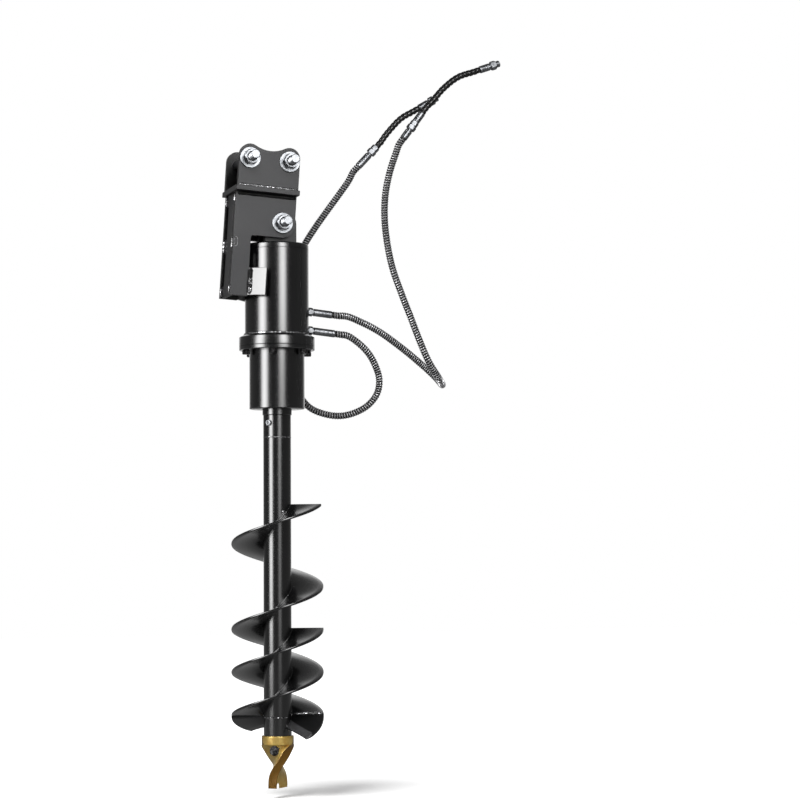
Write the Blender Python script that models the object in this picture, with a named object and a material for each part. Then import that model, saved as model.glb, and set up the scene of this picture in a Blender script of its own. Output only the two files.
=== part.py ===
"""Earth auger drive for a small digger.

A welded bracket bolts to the machine's hitch and carries a hydraulic drive on one pivot bolt.
The drive holds a motor and one planetary gear stage, and turns an auger with two flights,
two cutting blades and a twisted pilot bit. Two hoses run from its ports to the machine's arm.

Metres, +Z up. The origin is midway between the two hitch bolts, +X points from the saddle
side to the port side and -Y is the side of the nuts.
"""

import math

import bmesh
import bpy
from mathutils import Matrix, Vector
from mathutils.geometry import interpolate_bezier, tessellate_polygon

# Fits
SEAT_GAP = 0.0003
BOLT_CLEARANCE = 0.0005
CUT_OVERRUN = 0.004

# Hitch and pivot
BRACKET_TILT = math.radians(3.75)
HITCH_PITCH = 0.0904
HITCH_RISE = 0.136
HITCH_SETBACK = 0.0412

# Hitch ears and base plate of the bracket
EAR_GAP = 0.106
EAR_THICKNESS = 0.012
EAR_LOBE_RADIUS = 0.024
EAR_LOBE_LIFT = 0.0075
EAR_DIP = 0.012
BASE_UNDERSIDE_RISE = 0.062
BASE_THICKNESS = 0.012
BASE_SIDE_MARGIN = 0.0035
BASE_FACE_MARGIN = 0.0025
BASE_EDGE_BEVEL = 0.001

# Side plates, web and saddle wings of the bracket
SIDE_WIDTH = 0.100
SIDE_THICKNESS = 0.011
SIDE_BACK = 0.110
SIDE_NOSE = 0.029
NOSE_RADIUS = 0.030
NOTCH_DROP = 0.033
NOTCH_RADIUS = 0.006
LEG_WIDTH = 0.040
LEG_DROP = 0.170
WEB_THICKNESS = 0.008
WEB_INSET = 0.0025
WEB_SLOT_WIDTH = 0.016
WEB_TOP_TAB = 0.027
WEB_MIDDLE_TAB = 0.033
WEB_BOTTOM_TAB = 0.026
WING_LENGTH = 0.054
WING_THICKNESS = 0.008
WING_HEIGHT = 0.061
WING_LIFT = 0.002
WING_FLARE = math.radians(45)

# Hitch and pivot bolts, all of one size
BOLT_RADIUS = 0.010
BOLT_ACROSS_FLATS = 0.030
BOLT_HEAD_HEIGHT = 0.0125
BOLT_TAIL = 0.047
BOLT_TIP_CHAMFER = 0.002
NUT_HEIGHT = 0.018
NUT_CHAMFER = 0.0015
WASHER_RADIUS = 0.0233
WASHER_THICKNESS = 0.0035

# Drive housings
PIVOT_TO_CAP = 0.043
HOUSING_RADIUS = 0.06985
HOUSING_WALL = 0.008
CAP_THICKNESS = 0.012
CAP_CHAMFER = 0.003
MOTOR_HOUSING_DROP = 0.246
FLANGE_RADIUS = 0.0833
FLANGE_CHAMFER = 0.0015
UPPER_FLANGE_THICKNESS = 0.021
LOWER_FLANGE_THICKNESS = 0.0112
GEARBOX_RADIUS = 0.06085
GEARBOX_DROP = 0.4057
GEARBOX_RIM_CHAMFER = 0.0015
LUG_THICKNESS = 0.016
LUG_SIDE_GAP = 0.003
LUG_RADIUS = 0.036
BUSH_WALL = 0.004
BUSH_END_GAP = 0.0005

# Flange bolts
FLANGE_BOLT_COUNT = 6
FLANGE_BOLT_CIRCLE = 0.0730
FLANGE_BOLT_START = math.radians(8)
FLANGE_BOLT_RADIUS = 0.0045
FLANGE_BOLT_ACROSS_FLATS = 0.0145
FLANGE_BOLT_HEAD = 0.0085
FLANGE_BOLT_GRIP = 0.026

# Motor, ports and hose fittings
MOTOR_TOP_GAP = 0.004
MOTOR_END_RADIUS = 0.048
MOTOR_RING_RADIUS = 0.052
MOTOR_END_LENGTH = 0.030
MOTOR_RING_LENGTH = 0.060
MOTOR_SPIGOT_RADIUS = 0.034
MOTOR_SPIGOT_LENGTH = 0.012
MOTOR_BODY_BOTTOM = 0.250
MOTOR_BORE_DEPTH = 0.050
PORT_DROPS = {"a": 0.189, "b": 0.2305}
PORT_FITTING_LENGTHS = {"a": 0.055, "b": 0.062}
PORT_DROOP = math.radians(7)
PORT_NOSE_RADIUS = 0.0075
PORT_HOLE_RADIUS = 0.0085
FITTING_ACROSS_FLATS = 0.022
FITTING_NUT_LENGTH = 0.012
FITTING_NECK_RADIUS = 0.0065
FITTING_NECK_LENGTH = 0.004
FERRULE_RADIUS = 0.0086
FERRULE_CHAMFER = 0.001
FERRULE_LENGTH = 0.033

# Planetary stage
GEAR_MODULE = 0.002
SUN_TEETH = 12
PLANET_TEETH = 18
RING_TEETH = SUN_TEETH + 2 * PLANET_TEETH
PLANET_COUNT = 3
PRESSURE_ANGLE = math.radians(25)
ADDENDUM_SHARE = 0.8
DEDENDUM_SHARE = 1.15
BACKLASH = 0.0002
GEAR_WIDTH = 0.026
GEAR_TOP_DROP = 0.288
SUN_SHAFT_RADIUS = 0.0085
SUN_SHAFT_TOP_DROP = 0.215
PLANET_PIN_RADIUS = 0.0075
PIN_STAND = 0.002
RING_GEAR_WALL = 0.0025
CARRIER_GAP = 0.004
CARRIER_THICKNESS = 0.010
CARRIER_RADIUS = 0.044

# Output shaft and its bearings
SHAFT_RADIUS = 0.030
COLLAR_RADIUS = 0.0327
COLLAR_BOTTOM_DROP = 0.424
STUB_LENGTH = 0.096
BEARING_WIDTH = 0.022
BEARING_OUTER_RADIUS = 0.0467
BEARING_SPLIT_RADIUS = 0.0385
BEARING_TAPER = 0.003
BEARING_CLEARANCE = 0.0004
BEARING_TOP_GAP = 0.004
BEARING_SPACING = 0.006
SEAL_RADIUS = 0.0415
SEAL_WIDTH = 0.008
LIP_CLEARANCE = 0.0007
LIP_THICKNESS = 0.0075

# Auger
CAMERA_SIDE = math.radians(-15)
TUBE_RADIUS = 0.03015
TUBE_WALL = 0.006
TUBE_BOTTOM_DROP = 1.136
TUBE_PLUG = 0.016
CROSS_BOLT_DROP = 0.441
CROSS_BOLT_TURN = math.radians(-33)
CROSS_BOLT_RADIUS = 0.0055
CROSS_BOLT_HEAD_RADIUS = 0.009
CROSS_BOLT_HEAD = 0.006
FLIGHT_RADIUS = 0.1025
FLIGHT_THICKNESS = 0.0055
FLIGHT_PITCH = 0.1893
FLIGHT_BOTTOM_DROP = 1.0885
MAIN_FLIGHT_TURNS = 2.45
SECOND_FLIGHT_TURNS = 1.0
BLADE_SPAN = math.radians(50)
BLADE_SLOPE = math.radians(31.5)
BLADE_THICKNESS = 0.008

# Pilot bit
PILOT_RADIUS = 0.0347
PILOT_LENGTH = 0.1145
PILOT_BOSS_LENGTH = 0.0205
PILOT_NOTCH_WIDTH = 0.005
PILOT_NOTCH_DEPTH = 0.013
PILOT_STUB_RADIUS = 0.0125
PILOT_STUB_LENGTH = 0.045
PILOT_SQUARENESS = 5.0
PILOT_BOLT_DROP = 0.0365
PILOT_BOLT_TURN = math.radians(-19)
PILOT_BOLT_RADIUS = 0.006
PILOT_BOLT_ACROSS_FLATS = 0.0178
PILOT_BOLT_HEAD = 0.0065
PILOT_SPOT_FACE = 0.0112
PILOT_SEAT_DEPTH = 0.0175

# Down the pilot bit: shares of its length, of the boss radius in half width and half thickness, and
# of half a turn
PILOT_FORM_SHARES = [
    (0.181, 0.951, 0.600, 0.000),
    (0.215, 0.950, 0.570, 0.015),
    (0.265, 0.948, 0.530, 0.060),
    (0.320, 0.944, 0.480, 0.110),
    (0.390, 0.940, 0.430, 0.235),
    (0.440, 0.942, 0.390, 0.310),
    (0.486, 0.936, 0.360, 0.375),
    (0.530, 0.910, 0.345, 0.435),
    (0.574, 0.880, 0.337, 0.500),
    (0.610, 0.858, 0.330, 0.570),
    (0.643, 0.836, 0.325, 0.630),
    (0.682, 0.812, 0.318, 0.680),
    (0.722, 0.787, 0.310, 0.725),
    (0.762, 0.745, 0.300, 0.775),
    (0.801, 0.705, 0.290, 0.820),
    (0.836, 0.672, 0.280, 0.870),
    (0.871, 0.651, 0.270, 0.917),
    (0.914, 0.642, 0.262, 0.955),
    (0.957, 0.637, 0.255, 0.980),
    (1.000, 0.634, 0.250, 1.000),
]

# Hoses
HOSE_RADIUS = 0.0080
UPPER_HOSE_RADIUS = 0.0068
HOSE_POINT_SPACING = 2.0
COUPLING_LENGTHS = {"a": 0.074, "b": 0.062}
COUPLING_NUT_LENGTH = 0.011
END_FITTING_LENGTH = 0.040
END_THREAD_LENGTH = 0.010

# Sides of the faceted round shapes
COARSE_SIDES = 18
FINE_SIDES = 36
FLIGHT_STEPS_PER_TURN = 28
BLADE_STEPS = 5
HOSE_BEVEL = 2
ARC_STEPS = 8

# Hose routes as points from the pivot, read along each hose from the drive to the arm
HOSE_ROUTES = {
    "a_lower": [
        (0.159, 0.004, -0.2005),
        (0.202, 0.012, -0.214),
        (0.249, 0.024, -0.233),
        (0.297, 0.040, -0.258),
        (0.341, 0.056, -0.285),
        (0.376, 0.066, -0.310),
        (0.395, 0.056, -0.330),
        (0.396, 0.022, -0.346),
        (0.385, -0.018, -0.351),
        (0.367, -0.058, -0.337),
        (0.344, -0.078, -0.305),
        (0.321, -0.084, -0.259),
        (0.297, -0.086, -0.209),
        (0.270, -0.088, -0.155),
        (0.246, -0.088, -0.097),
        (0.231, -0.088, -0.041),
        (0.225, -0.088, 0.015),
        (0.227, -0.088, 0.069),
        (0.238, -0.088, 0.122),
        (0.252, -0.088, 0.164),
        (0.269, -0.088, 0.197),
    ],
    "a_upper": [
        (0.313, -0.088, 0.2565),
        (0.337, -0.088, 0.285),
        (0.366, -0.088, 0.318),
        (0.402, -0.088, 0.346),
        (0.4525, -0.088, 0.365),
    ],
    "b_lower": [
        (0.161, 0.002, -0.246),
        (0.191, 0.006, -0.263),
        (0.217, 0.012, -0.286),
        (0.235, 0.019, -0.312),
        (0.246, 0.027, -0.341),
        (0.244, 0.036, -0.370),
        (0.228, 0.045, -0.395),
        (0.201, 0.054, -0.412),
        (0.168, 0.063, -0.420),
        (0.133, 0.072, -0.415),
        (0.100, 0.081, -0.399),
        (0.077, 0.090, -0.370),
        (0.065, 0.096, -0.322),
        (0.062, 0.098, -0.260),
        (0.062, 0.096, -0.191),
        (0.064, 0.093, -0.129),
        (0.071, 0.090, -0.074),
        (0.087, 0.086, -0.031),
        (0.110, 0.080, 0.008),
        (0.137, 0.074, 0.048),
        (0.164, 0.067, 0.087),
        (0.187, 0.061, 0.122),
        (0.207, 0.056, 0.153),
    ],
    "b_upper": [
        (0.248, 0.047, 0.199),
        (0.263, 0.044, 0.218),
        (0.281, 0.040, 0.242),
        (0.306, 0.035, 0.268),
        (0.346, 0.030, 0.292),
    ],
}


def material(name, colour, metallic, roughness):
    """A plain Principled material."""
    made = bpy.data.materials.new(name)
    made.use_nodes = True
    shader = made.node_tree.nodes["Principled BSDF"]
    shader.inputs["Base Color"].default_value = (*colour, 1)
    shader.inputs["Metallic"].default_value = metallic
    shader.inputs["Roughness"].default_value = roughness
    made.diffuse_color = (*colour, 1)
    return made


def empty(name, parent, location, rotation=(0, 0, 0)):
    """An axis or frame that pieces hang from."""
    made = bpy.data.objects.new(name, None)
    bpy.context.collection.objects.link(made)
    made.parent = parent
    made.location = location
    made.rotation_euler = rotation
    return made


def piece(name, mesh, finish, parent, location=(0, 0, 0), rotation=(0, 0, 0)):
    """One sub-part as an object, shaded smooth with its corners kept."""
    mesh.name = name
    mesh.materials.append(material(name, *finish))
    mesh.shade_smooth()
    mesh.set_sharp_from_angle(angle=math.radians(30))
    made = bpy.data.objects.new(name, mesh)
    bpy.context.collection.objects.link(made)
    made.parent = parent
    made.location = location
    made.rotation_euler = rotation
    return made


def closed_mesh(points, faces):
    """A mesh whose faces all point outwards."""
    mesh = bpy.data.meshes.new("outline")
    mesh.from_pydata(points, [], faces)
    work = bmesh.new()
    work.from_mesh(mesh)
    bmesh.ops.recalc_face_normals(work, faces=work.faces)
    work.to_mesh(mesh)
    work.free()
    return mesh


def lofted(sections, closed=False):
    """A body through sections of equal point counts, capped, or joined end to start when closed."""
    count = len(sections[0])
    points = [point for section in sections for point in section]
    spans = len(sections) if closed else len(sections) - 1
    faces = []
    for i in range(spans):
        near = i * count
        far = (i + 1) % len(sections) * count
        for j in range(count):
            k = (j + 1) % count
            faces.append((near + j, near + k, far + k, far + j))
    if not closed:
        faces.append(tuple(range(count)))
        faces.append(tuple(range(len(points) - count, len(points))))
    return closed_mesh(points, faces)


def circle(radius, z, sides=COARSE_SIDES):
    """A ring of points about Z."""
    return [
        (radius * math.cos(math.tau * i / sides), radius * math.sin(math.tau * i / sides), z)
        for i in range(sides)
    ]


def hexagon(across_flats, z, sides=COARSE_SIDES):
    """A hexagon as a ring with points on its flats, so that it lofts into a circle."""
    ring = []
    sixth = math.tau / 6
    for i in range(sides):
        turn = math.tau * i / sides
        reach = across_flats / 2 / math.cos(turn % sixth - sixth / 2)
        ring.append((reach * math.cos(turn), reach * math.sin(turn), z))
    return ring


def turned(profile, sides=COARSE_SIDES, hollow=True):
    """A turned body: profile holds radius and height, round the wall when hollow."""
    return lofted([circle(radius, z, sides) for radius, z in profile], closed=hollow)


def extruded(loops, depth):
    """An outline with holes, drawn in X and Y, thickened along Z from 0 to depth."""
    flat = [Vector((x, y, 0)) for loop in loops for x, y in loop]
    count = len(flat)
    points = [(p.x, p.y, 0) for p in flat] + [(p.x, p.y, depth) for p in flat]
    corners = tessellate_polygon([[Vector((x, y, 0)) for x, y in loop] for loop in loops])
    faces = [tuple(corner) for corner in corners]
    faces += [tuple(i + count for i in reversed(corner)) for corner in corners]
    first = 0
    for loop in loops:
        for i in range(len(loop)):
            a = first + i
            b = first + (i + 1) % len(loop)
            faces.append((a, b, b + count, a + count))
        first += len(loop)
    return closed_mesh(points, faces)


def arc(centre, radius, start, end, steps=ARC_STEPS):
    """Points along an arc in a plane, both ends included."""
    return [
        (
            centre[0] + radius * math.cos(start + (end - start) * i / steps),
            centre[1] + radius * math.sin(start + (end - start) * i / steps),
        )
        for i in range(steps + 1)
    ]


def hole(centre, radius, sides=COARSE_SIDES):
    """A round hole's loop."""
    return arc(centre, radius, 0, math.tau, sides)[:-1]


def placed(mesh, matrix):
    """The mesh moved by a matrix."""
    mesh.transform(matrix)
    return mesh


def upright(mesh, y):
    """A plate drawn in X and Z, set to run from y towards -Y."""
    return placed(mesh, Matrix.Translation((0, y, 0)) @ Matrix.Rotation(math.pi / 2, 4, "X"))


def joined(meshes):
    """Several shapes in one cutter mesh."""
    work = bmesh.new()
    for mesh in meshes:
        work.from_mesh(mesh)
    whole = bpy.data.meshes.new("cutter")
    work.to_mesh(whole)
    work.free()
    return whole


def cut(target, mesh, operation="DIFFERENCE"):
    """A Boolean cut, or a join, by a hidden shape that moves with the piece."""
    cutter = bpy.data.objects.new(target.name + "_cutter", mesh)
    bpy.context.collection.objects.link(cutter)
    cutter.parent = target
    cutter.hide_render = True
    cutter.display_type = "WIRE"
    modifier = target.modifiers.new("cut", "BOOLEAN")
    modifier.operation = operation
    modifier.object = cutter


def rod(radius, start, end, sides=COARSE_SIDES):
    """A plain cylinder between two points, for cutting holes."""
    along = Vector(end) - Vector(start)
    mesh = turned([(radius, 0), (radius, along.length)], sides, hollow=False)
    turn = Vector((0, 0, 1)).rotation_difference(along).to_matrix().to_4x4()
    return placed(mesh, Matrix.Translation(start) @ turn)


def hex_bolt(grip, radius, across_flats, head):
    """A hexagon bolt along +Z: its head below 0, its shank up to the chamfered end."""
    chamfer = min(BOLT_TIP_CHAMFER, radius / 4)
    return lofted(
        [
            hexagon(across_flats - 2 * chamfer, -head),
            hexagon(across_flats, chamfer - head),
            hexagon(across_flats, 0),
            circle(radius, 0),
            circle(radius, grip - chamfer),
            circle(radius - chamfer, grip),
        ]
    )


def hex_nut():
    """A nut along +Z from 0, with both faces chamfered and its bore clear of the bolt."""
    bore = BOLT_RADIUS + SEAT_GAP
    rim = BOLT_ACROSS_FLATS - 2 * NUT_CHAMFER
    return lofted(
        [
            circle(bore, 0),
            hexagon(rim, 0),
            hexagon(BOLT_ACROSS_FLATS, NUT_CHAMFER),
            hexagon(BOLT_ACROSS_FLATS, NUT_HEIGHT - NUT_CHAMFER),
            hexagon(rim, NUT_HEIGHT),
            circle(bore, NUT_HEIGHT),
        ],
        closed=True,
    )


def washer():
    """A flat washer along +Z from 0."""
    bore = BOLT_RADIUS + SEAT_GAP
    return turned(
        [(bore, 0), (WASHER_RADIUS, 0), (WASHER_RADIUS, WASHER_THICKNESS), (bore, WASHER_THICKNESS)]
    )


for old in list(bpy.data.objects):
    bpy.data.objects.remove(old, do_unlink=True)

BLACK_PAINT = ((0.020, 0.020, 0.021), 0.0, 0.30)
SATIN_BLACK = ((0.028, 0.028, 0.029), 0.0, 0.45)
ZINC = ((0.62, 0.63, 0.64), 1.0, 0.28)
BARE_STEEL = ((0.45, 0.45, 0.46), 1.0, 0.35)
GEAR_STEEL = ((0.32, 0.32, 0.33), 1.0, 0.30)
BRONZE = ((0.52, 0.36, 0.16), 1.0, 0.35)
SEAL_RUBBER = ((0.03, 0.03, 0.03), 0.0, 0.70)
GOLD_PAINT = ((0.66, 0.42, 0.08), 0.8, 0.32)
HOSE_BLACK = ((0.05, 0.05, 0.05), 0.3, 0.45)
OXIDE_BLACK = ((0.05, 0.045, 0.045), 0.6, 0.45)

tilt = Matrix.Rotation(BRACKET_TILT, 3, "Y")
pivot = tilt @ Vector((HITCH_SETBACK, 0, -HITCH_RISE))
bracket = empty("bracket_frame", None, pivot, (0, BRACKET_TILT, 0))
drive = empty("drive_swing_axis", None, pivot)
output = empty("output_axis", drive, (0, 0, 0))


# Hitch ears: two plates with a lobe round each bolt and a dip between them
ear_base = BASE_UNDERSIDE_RISE + BASE_THICKNESS + SEAT_GAP
lobe_height = HITCH_RISE + EAR_LOBE_LIFT
half_pitch = HITCH_PITCH / 2
left_lobe = (-HITCH_SETBACK - half_pitch, lobe_height)
right_lobe = (half_pitch - HITCH_SETBACK, lobe_height)
dip_bottom = EAR_LOBE_RADIUS - EAR_DIP
dip_radius = (half_pitch**2 + dip_bottom**2 - EAR_LOBE_RADIUS**2) / (2 * EAR_DIP)
dip_centre = (-HITCH_SETBACK, lobe_height + dip_bottom + dip_radius)
meet = math.atan2(dip_centre[1] - lobe_height, half_pitch)
ear_outline = [
    (left_lobe[0] - EAR_LOBE_RADIUS, ear_base),
    *arc(left_lobe, EAR_LOBE_RADIUS, math.pi, meet),
    *arc(dip_centre, dip_radius, math.pi + meet, math.tau - meet)[1:-1],
    *arc(right_lobe, EAR_LOBE_RADIUS, math.pi - meet, 0),
    (right_lobe[0] + EAR_LOBE_RADIUS, ear_base),
]
hitch_holes = [
    hole((side * half_pitch - HITCH_SETBACK, HITCH_RISE), BOLT_RADIUS + BOLT_CLEARANCE)
    for side in (-1, 1)
]
ear_outer = EAR_GAP / 2 + EAR_THICKNESS
for name, y in (("ear_front", -EAR_GAP / 2), ("ear_rear", ear_outer)):
    ear = upright(extruded([ear_outline, *hitch_holes], EAR_THICKNESS), y)
    piece(name, ear, BLACK_PAINT, bracket)

# Base plate between the ears and the side plates, its edges broken by a small bevel
base_left = left_lobe[0] - EAR_LOBE_RADIUS - BASE_SIDE_MARGIN
base_right = right_lobe[0] + EAR_LOBE_RADIUS + BASE_SIDE_MARGIN
base_half = ear_outer + BASE_FACE_MARGIN
base_outline = [
    (base_left, -base_half),
    (base_right, -base_half),
    (base_right, base_half),
    (base_left, base_half),
]
base = piece("base_plate", extruded([base_outline], BASE_THICKNESS), BLACK_PAINT, bracket)
base.location = (0, 0, BASE_UNDERSIDE_RISE)
edge = base.modifiers.new("edge", "BEVEL")
edge.width = BASE_EDGE_BEVEL
edge.segments = 1

# Side plates: full width at the pivot, then a notch over the drive and a leg down to the saddle
side_top = BASE_UNDERSIDE_RISE - SEAT_GAP
nose_centre = (SIDE_NOSE - NOSE_RADIUS, NOSE_RADIUS - NOTCH_DROP)
leg_inner = LEG_WIDTH - SIDE_BACK
side_outline = [
    (-SIDE_BACK, side_top),
    (-SIDE_BACK, -LEG_DROP),
    (leg_inner, -LEG_DROP),
    *arc((leg_inner + NOTCH_RADIUS, -NOTCH_DROP - NOTCH_RADIUS), NOTCH_RADIUS, math.pi, math.pi / 2),
    *arc(nose_centre, NOSE_RADIUS, -math.pi / 2, 0),
    (SIDE_NOSE, side_top),
]
pivot_hole = hole((0, 0), BOLT_RADIUS + BOLT_CLEARANCE)
side_inner = SIDE_WIDTH / 2 - SIDE_THICKNESS
for name, y in (("side_plate_front", -side_inner), ("side_plate_rear", SIDE_WIDTH / 2)):
    side = upright(extruded([side_outline, pivot_hole], SIDE_THICKNESS), y)
    piece(name, side, BLACK_PAINT, bracket)

# Web plate across the back, with a long slot beside each side plate above and below its middle tab
web_half = side_inner - SEAT_GAP
web_waist = web_half - WEB_SLOT_WIDTH
web_height = side_top + LEG_DROP
middle_top = web_height / 2 + WEB_MIDDLE_TAB / 2
middle_bottom = web_height / 2 - WEB_MIDDLE_TAB / 2
web_half_outline = [
    (web_half, 0),
    (web_half, WEB_BOTTOM_TAB),
    (web_waist, WEB_BOTTOM_TAB),
    (web_waist, middle_bottom),
    (web_half, middle_bottom),
    (web_half, middle_top),
    (web_waist, middle_top),
    (web_waist, web_height - WEB_TOP_TAB),
    (web_half, web_height - WEB_TOP_TAB),
    (web_half, web_height),
]
web_outline = web_half_outline + [(-y, z) for y, z in reversed(web_half_outline)]
stand_on_leg = Matrix(((0, 0, 1, WEB_INSET - SIDE_BACK), (1, 0, 0, 0), (0, 1, 0, -LEG_DROP), (0, 0, 0, 1)))
web = placed(extruded([web_outline], WEB_THICKNESS), stand_on_leg)
piece("web_plate", web, BLACK_PAINT, bracket)

# Saddle wings welded to the legs' inner edges, flared 45 degrees to cradle the housing
flare = Vector((math.cos(WING_FLARE), -math.sin(WING_FLARE)))
across = Vector((-flare.x, flare.y))
root = Vector((leg_inner + SEAT_GAP, -side_inner))
tip = root + flare * WING_LENGTH
outer_tip = tip + across * WING_THICKNESS
outer_root = outer_tip - flare * ((outer_tip.x - root.x) / flare.x)
wing_outline = [tuple(root), tuple(tip), tuple(outer_tip), tuple(outer_root)]
for name, mirror in (("saddle_wing_front", 1), ("saddle_wing_rear", -1)):
    outline = [(x, y * mirror) for x, y in wing_outline]
    wing = extruded([outline], WING_HEIGHT)
    piece(name, wing, BLACK_PAINT, bracket, (0, 0, WING_LIFT - LEG_DROP))

# Hitch and pivot bolts with their nuts and washers, heads at the rear
face_turn = (math.pi / 2, 0, 0)
for name, x, z, half_width in (
    ("hitch_left", -HITCH_SETBACK - half_pitch, HITCH_RISE, ear_outer),
    ("hitch_right", half_pitch - HITCH_SETBACK, HITCH_RISE, ear_outer),
    ("pivot", 0, 0, SIDE_WIDTH / 2),
):
    stack = half_width + SEAT_GAP
    grip = stack + half_width + WASHER_THICKNESS + BOLT_TAIL
    bolt = hex_bolt(grip, BOLT_RADIUS, BOLT_ACROSS_FLATS, BOLT_HEAD_HEIGHT)
    piece(name + "_bolt", bolt, ZINC, bracket, (x, stack, z), face_turn)
    piece(name + "_washer", washer(), ZINC, bracket, (x, -stack, z), face_turn)
    nut_seat = stack + WASHER_THICKNESS + SEAT_GAP
    piece(name + "_nut", hex_nut(), ZINC, bracket, (x, -nut_seat, z), face_turn)

# Lugs of the drive, between the side plates, standing on the cap
lug_foot = SEAT_GAP - PIVOT_TO_CAP
bush_radius = BOLT_RADIUS + SEAT_GAP + BUSH_WALL
lug_outline = [
    (-LUG_RADIUS, lug_foot),
    (LUG_RADIUS, lug_foot),
    *arc((0, 0), LUG_RADIUS, 0, math.pi, 2 * ARC_STEPS),
]
lug_hole = hole((0, 0), bush_radius + SEAT_GAP)
lug_outer = side_inner - LUG_SIDE_GAP
for name, y in (("lug_front", LUG_THICKNESS - lug_outer), ("lug_rear", lug_outer)):
    lug = upright(extruded([lug_outline, lug_hole], LUG_THICKNESS), y)
    piece(name, lug, BLACK_PAINT, drive)
bush_half = side_inner - BUSH_END_GAP
bush_bore = BOLT_RADIUS + SEAT_GAP
bush = turned(
    [(bush_bore, -bush_half), (bush_radius, -bush_half), (bush_radius, bush_half), (bush_bore, bush_half)]
)
piece("pivot_bush", bush, BRONZE, drive, (0, 0, 0), face_turn)

# Cap and motor housing
cap_bottom = -PIVOT_TO_CAP - CAP_THICKNESS
cap = turned(
    [
        (HOUSING_RADIUS, cap_bottom),
        (HOUSING_RADIUS, -PIVOT_TO_CAP - CAP_CHAMFER),
        (HOUSING_RADIUS - CAP_CHAMFER, -PIVOT_TO_CAP),
    ],
    FINE_SIDES,
    hollow=False,
)
piece("top_cap", cap, BLACK_PAINT, drive)
housing_bore = HOUSING_RADIUS - HOUSING_WALL
upper_flange_bottom = -MOTOR_HOUSING_DROP - UPPER_FLANGE_THICKNESS
housing_top = cap_bottom - SEAT_GAP
motor_housing = piece(
    "motor_housing",
    turned(
        [
            (housing_bore, upper_flange_bottom),
            (FLANGE_RADIUS, upper_flange_bottom),
            (FLANGE_RADIUS, -MOTOR_HOUSING_DROP - FLANGE_CHAMFER),
            (FLANGE_RADIUS - FLANGE_CHAMFER, -MOTOR_HOUSING_DROP),
            (HOUSING_RADIUS, -MOTOR_HOUSING_DROP),
            (HOUSING_RADIUS, housing_top),
            (housing_bore, housing_top),
        ],
        FINE_SIDES,
    ),
    BLACK_PAINT,
    drive,
)

# Gearbox housing: flange, bore for the ring gear, seats for both bearings and the seal, bottom lip
lower_flange_top = upper_flange_bottom - SEAT_GAP
lower_flange_bottom = lower_flange_top - LOWER_FLANGE_THICKNESS
gear_top = -GEAR_TOP_DROP
gear_bottom = gear_top - GEAR_WIDTH
ring_root = GEAR_MODULE * (RING_TEETH / 2 + DEDENDUM_SHARE)
ring_outer = ring_root + RING_GEAR_WALL
carrier_top = gear_bottom - CARRIER_GAP
carrier_bottom = carrier_top - CARRIER_THICKNESS
upper_bearing_top = carrier_bottom - BEARING_TOP_GAP
upper_bearing_bottom = upper_bearing_top - BEARING_WIDTH
lower_bearing_top = upper_bearing_bottom - BEARING_SPACING
lower_bearing_bottom = lower_bearing_top - BEARING_WIDTH
lip_top = LIP_THICKNESS - GEARBOX_DROP
seal_top = lip_top + SEAT_GAP + SEAL_WIDTH
lip_bore = COLLAR_RADIUS + LIP_CLEARANCE
gear_seat = ring_outer + SEAT_GAP
bearing_seat = BEARING_OUTER_RADIUS + SEAT_GAP
seal_seat = SEAL_RADIUS + SEAT_GAP
gearbox_housing = piece(
    "gearbox_housing",
    turned(
        [
            (lip_bore, -GEARBOX_DROP),
            (GEARBOX_RADIUS - GEARBOX_RIM_CHAMFER, -GEARBOX_DROP),
            (GEARBOX_RADIUS, GEARBOX_RIM_CHAMFER - GEARBOX_DROP),
            (GEARBOX_RADIUS, lower_flange_bottom),
            (FLANGE_RADIUS - FLANGE_CHAMFER, lower_flange_bottom),
            (FLANGE_RADIUS, lower_flange_bottom + FLANGE_CHAMFER),
            (FLANGE_RADIUS, lower_flange_top),
            (gear_seat, lower_flange_top),
            (gear_seat, gear_bottom),
            (bearing_seat, gear_bottom - CARRIER_GAP - CARRIER_THICKNESS),
            (bearing_seat, lower_bearing_bottom - SEAT_GAP),
            (seal_seat, lower_bearing_bottom - SEAT_GAP),
            (seal_seat, lip_top),
            (lip_bore, lip_top),
        ],
        FINE_SIDES,
    ),
    BLACK_PAINT,
    drive,
)

# Flange bolts, put in from below, and their holes through both flanges
bolt_hole = FLANGE_BOLT_RADIUS + BOLT_CLEARANCE
bolt_seat = lower_flange_bottom - SEAT_GAP
bolt_top = bolt_seat + FLANGE_BOLT_GRIP
flange_holes = []
for i in range(FLANGE_BOLT_COUNT):
    turn = FLANGE_BOLT_START + math.tau * i / FLANGE_BOLT_COUNT
    x = FLANGE_BOLT_CIRCLE * math.cos(turn)
    y = FLANGE_BOLT_CIRCLE * math.sin(turn)
    start = (x, y, lower_flange_bottom - CUT_OVERRUN)
    flange_holes.append(rod(bolt_hole, start, (x, y, bolt_top + BOLT_CLEARANCE), COARSE_SIDES // 2))
    bolt = hex_bolt(FLANGE_BOLT_GRIP, FLANGE_BOLT_RADIUS, FLANGE_BOLT_ACROSS_FLATS, FLANGE_BOLT_HEAD)
    piece(f"flange_bolt_{i + 1}", bolt, OXIDE_BLACK, drive, (x, y, bolt_seat), (0, 0, turn))
cut(motor_housing, joined(flange_holes))
cut(gearbox_housing, joined(flange_holes))

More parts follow.
